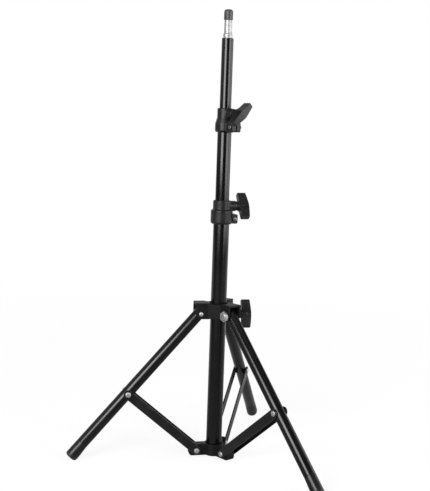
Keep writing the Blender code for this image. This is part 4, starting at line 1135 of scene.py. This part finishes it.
FRAME_WIDTH = 430
FRAME_HEIGHT = 491
AXIS_X = 220.0
AXIS_Y = 262.08
FOCAL_PIXELS = 950.48
SENSOR_WIDTH = 36.0
CAMERA_DISTANCE = 1.3734
CAMERA_HEIGHT = 0.2876
CAMERA_TILT = math.radians(8.35)
CAMERA_ROLL = math.radians(2.0)
CAMERA_NEAREST = 0.05
CAMERA_FARTHEST = 40.0
FLOOR_SIZE = 9.0
FLOOR_LIFT = 0.84
FLOOR_FADE = (0.35, 1.5)
FLOOR_MIRRORED = (-0.45, 0.9)
FLOOR_MIRRORED_LIGHT = 0.7
ROOM_BEHIND = (0.5, 0.95)
ROOM_DIM = 0.04
ROOM_FILL = 0.14
PANEL_DISTANCE = 3.0


def ray_is(tree, *kinds):
    """1 for rays of any of these kinds, 0 for the rest."""
    path = tree.nodes.new("ShaderNodeLightPath")
    value = path.outputs[kinds[0]]
    for kind in kinds[1:]:
        value = math_node(tree, 'MAXIMUM', value, path.outputs[kind])
    return value


def pale_floor():
    """Takes the object's soft shadow near it and fades to white where it is seen farther off."""
    bm = bmesh.new()
    half = 0.5 * FLOOR_SIZE
    corners = [bm.verts.new((x, y, GROUND)) for x, y in ((-half, -half), (half, -half), (half, half),
                                                        (-half, half))]
    bm.faces.new(corners)
    floor = solid("floor", bm)
    material, tree, shader, place = finish_tree("pale_floor", tinted(WHITE, 0.3), 0.9)
    shader.inputs["Specular IOR Level"].default_value = 0.1
    away = tree.nodes.new("ShaderNodeVectorMath")
    away.operation = 'LENGTH'
    tree.links.new(place, away.inputs[0])
    far = spread(tree, away.outputs["Value"], FLOOR_FADE)
    behind = spread(tree, axes(tree, place)["Y"], FLOOR_MIRRORED, (0.0, FLOOR_MIRRORED_LIGHT))
    grain = noise(tree, place, scale=220.0, detail=4.0)
    tree.links.new(blend_color(tree, grain, tinted(WHITE, 0.285), tinted(WHITE, 0.315)),
                   shader.inputs["Base Color"])
    seen = ray_is(tree, "Is Camera Ray", "Is Transmission Ray")
    lift = tree.nodes.new("ShaderNodeEmission")
    shown = total(tree, product(tree, seen, FLOOR_LIFT), product(tree, ray_is(tree, "Is Glossy Ray"), behind))
    tree.links.new(shown, lift.inputs["Strength"])
    both = tree.nodes.new("ShaderNodeAddShader")
    tree.links.new(shader.outputs["BSDF"], both.inputs[0])
    tree.links.new(lift.outputs["Emission"], both.inputs[1])
    white = tree.nodes.new("ShaderNodeEmission")
    fade = tree.nodes.new("ShaderNodeMixShader")
    tree.links.new(product(tree, seen, far), fade.inputs["Fac"])
    tree.links.new(both.outputs["Shader"], fade.inputs[1])
    tree.links.new(white.outputs["Emission"], fade.inputs[2])
    tree.links.new(fade.outputs["Shader"], tree.nodes["Material Output"].inputs["Surface"])
    floor.data.materials.append(material)


def studio_world():
    """White where it is seen and behind the object in reflections, with a dim room round the rest."""
    world = bpy.data.worlds.new("studio")
    world.use_nodes = True
    bpy.context.scene.world = world
    tree = world.node_tree
    background = tree.nodes["Background"]
    background.inputs["Color"].default_value = (*WHITE, 1.0)
    way = axes(tree, tree.nodes.new("ShaderNodeTexCoord").outputs["Generated"])
    behind = spread(tree, way["Y"], ROOM_BEHIND, (ROOM_DIM, 1.0))
    above = spread(tree, way["Z"], (0.7, 1.0), (0.0, 0.3))
    left = product(tree, spread(tree, way["X"], (-0.9, -0.5), (0.4, 0.0)),
                   spread(tree, way["Z"], (-0.04, 0.1)))
    mirror = total(tree, total(tree, behind, above), left)
    seen = ray_is(tree, "Is Camera Ray", "Is Transmission Ray")
    glossy = ray_is(tree, "Is Glossy Ray")
    value = total(tree, product(tree, glossy, mirror),
                  product(tree, math_node(tree, 'SUBTRACT', 1.0, glossy), ROOM_FILL))
    value = math_node(tree, 'MAXIMUM', value, seen)
    tree.links.new(value, background.inputs["Strength"])


def soft_light(name, azimuth, distance, height, aim_height, width, tall, radiance):
    """A soft box that faces the column's axis; the azimuth is in degrees to the camera's right."""
    data = bpy.data.lights.new(name, 'AREA')
    data.shape = 'RECTANGLE'
    data.size = width
    data.size_y = tall
    data.energy = radiance * math.pi * width * tall
    light = bpy.data.objects.new(name, data)
    bpy.context.scene.collection.objects.link(light)
    angle = math.radians(azimuth)
    place = Vector((distance * math.sin(angle), -distance * math.cos(angle), height))
    aim = (Vector((0.0, 0.0, aim_height)) - place).to_track_quat('-Z', 'Y')
    light.matrix_world = Matrix.LocRotScale(place, aim, (1.0, 1.0, 1.0))
    light.visible_camera = False


def upright_panel(name, azimuth, height, width, tall, radiance):
    soft_light(name, azimuth, PANEL_DISTANCE, height, height, width, tall, radiance)


def studio_camera():
    data = bpy.data.cameras.new("camera")
    data.sensor_width = SENSOR_WIDTH
    data.lens = FOCAL_PIXELS * SENSOR_WIDTH / FRAME_HEIGHT
    data.shift_x = -(AXIS_X - 0.5 * FRAME_WIDTH) / FRAME_HEIGHT
    data.shift_y = (AXIS_Y - 0.5 * FRAME_HEIGHT) / FRAME_HEIGHT
    data.clip_start = CAMERA_NEAREST
    data.clip_end = CAMERA_FARTHEST
    camera = bpy.data.objects.new("camera", data)
    bpy.context.scene.collection.objects.link(camera)
    back = CAMERA_DISTANCE * math.cos(CAMERA_TILT)
    rise = CAMERA_DISTANCE * math.sin(CAMERA_TILT)
    camera.matrix_world = (Matrix.Translation((0.0, -back, CAMERA_HEIGHT + rise))
                           @ turn(math.radians(90) - CAMERA_TILT, 'X') @ turn(CAMERA_ROLL, 'Z'))
    bpy.context.scene.camera = camera


pale_floor()
studio_world()
upright_panel("key_panel", azimuth=-30.5, height=1.30, width=1.80, tall=1.66, radiance=8.4)
upright_panel("side_panel", azimuth=57.0, height=1.02, width=1.95, tall=1.44, radiance=4.6)
upright_panel("rim_panel", azimuth=101.0, height=0.90, width=2.40, tall=1.40, radiance=2.4)
soft_light("top_panel", azimuth=10.0, distance=0.30, height=2.0, aim_height=0.3, width=0.8, tall=0.8,
           radiance=0.8)
studio_camera()
bpy.context.scene.view_settings.view_transform = 'Standard'
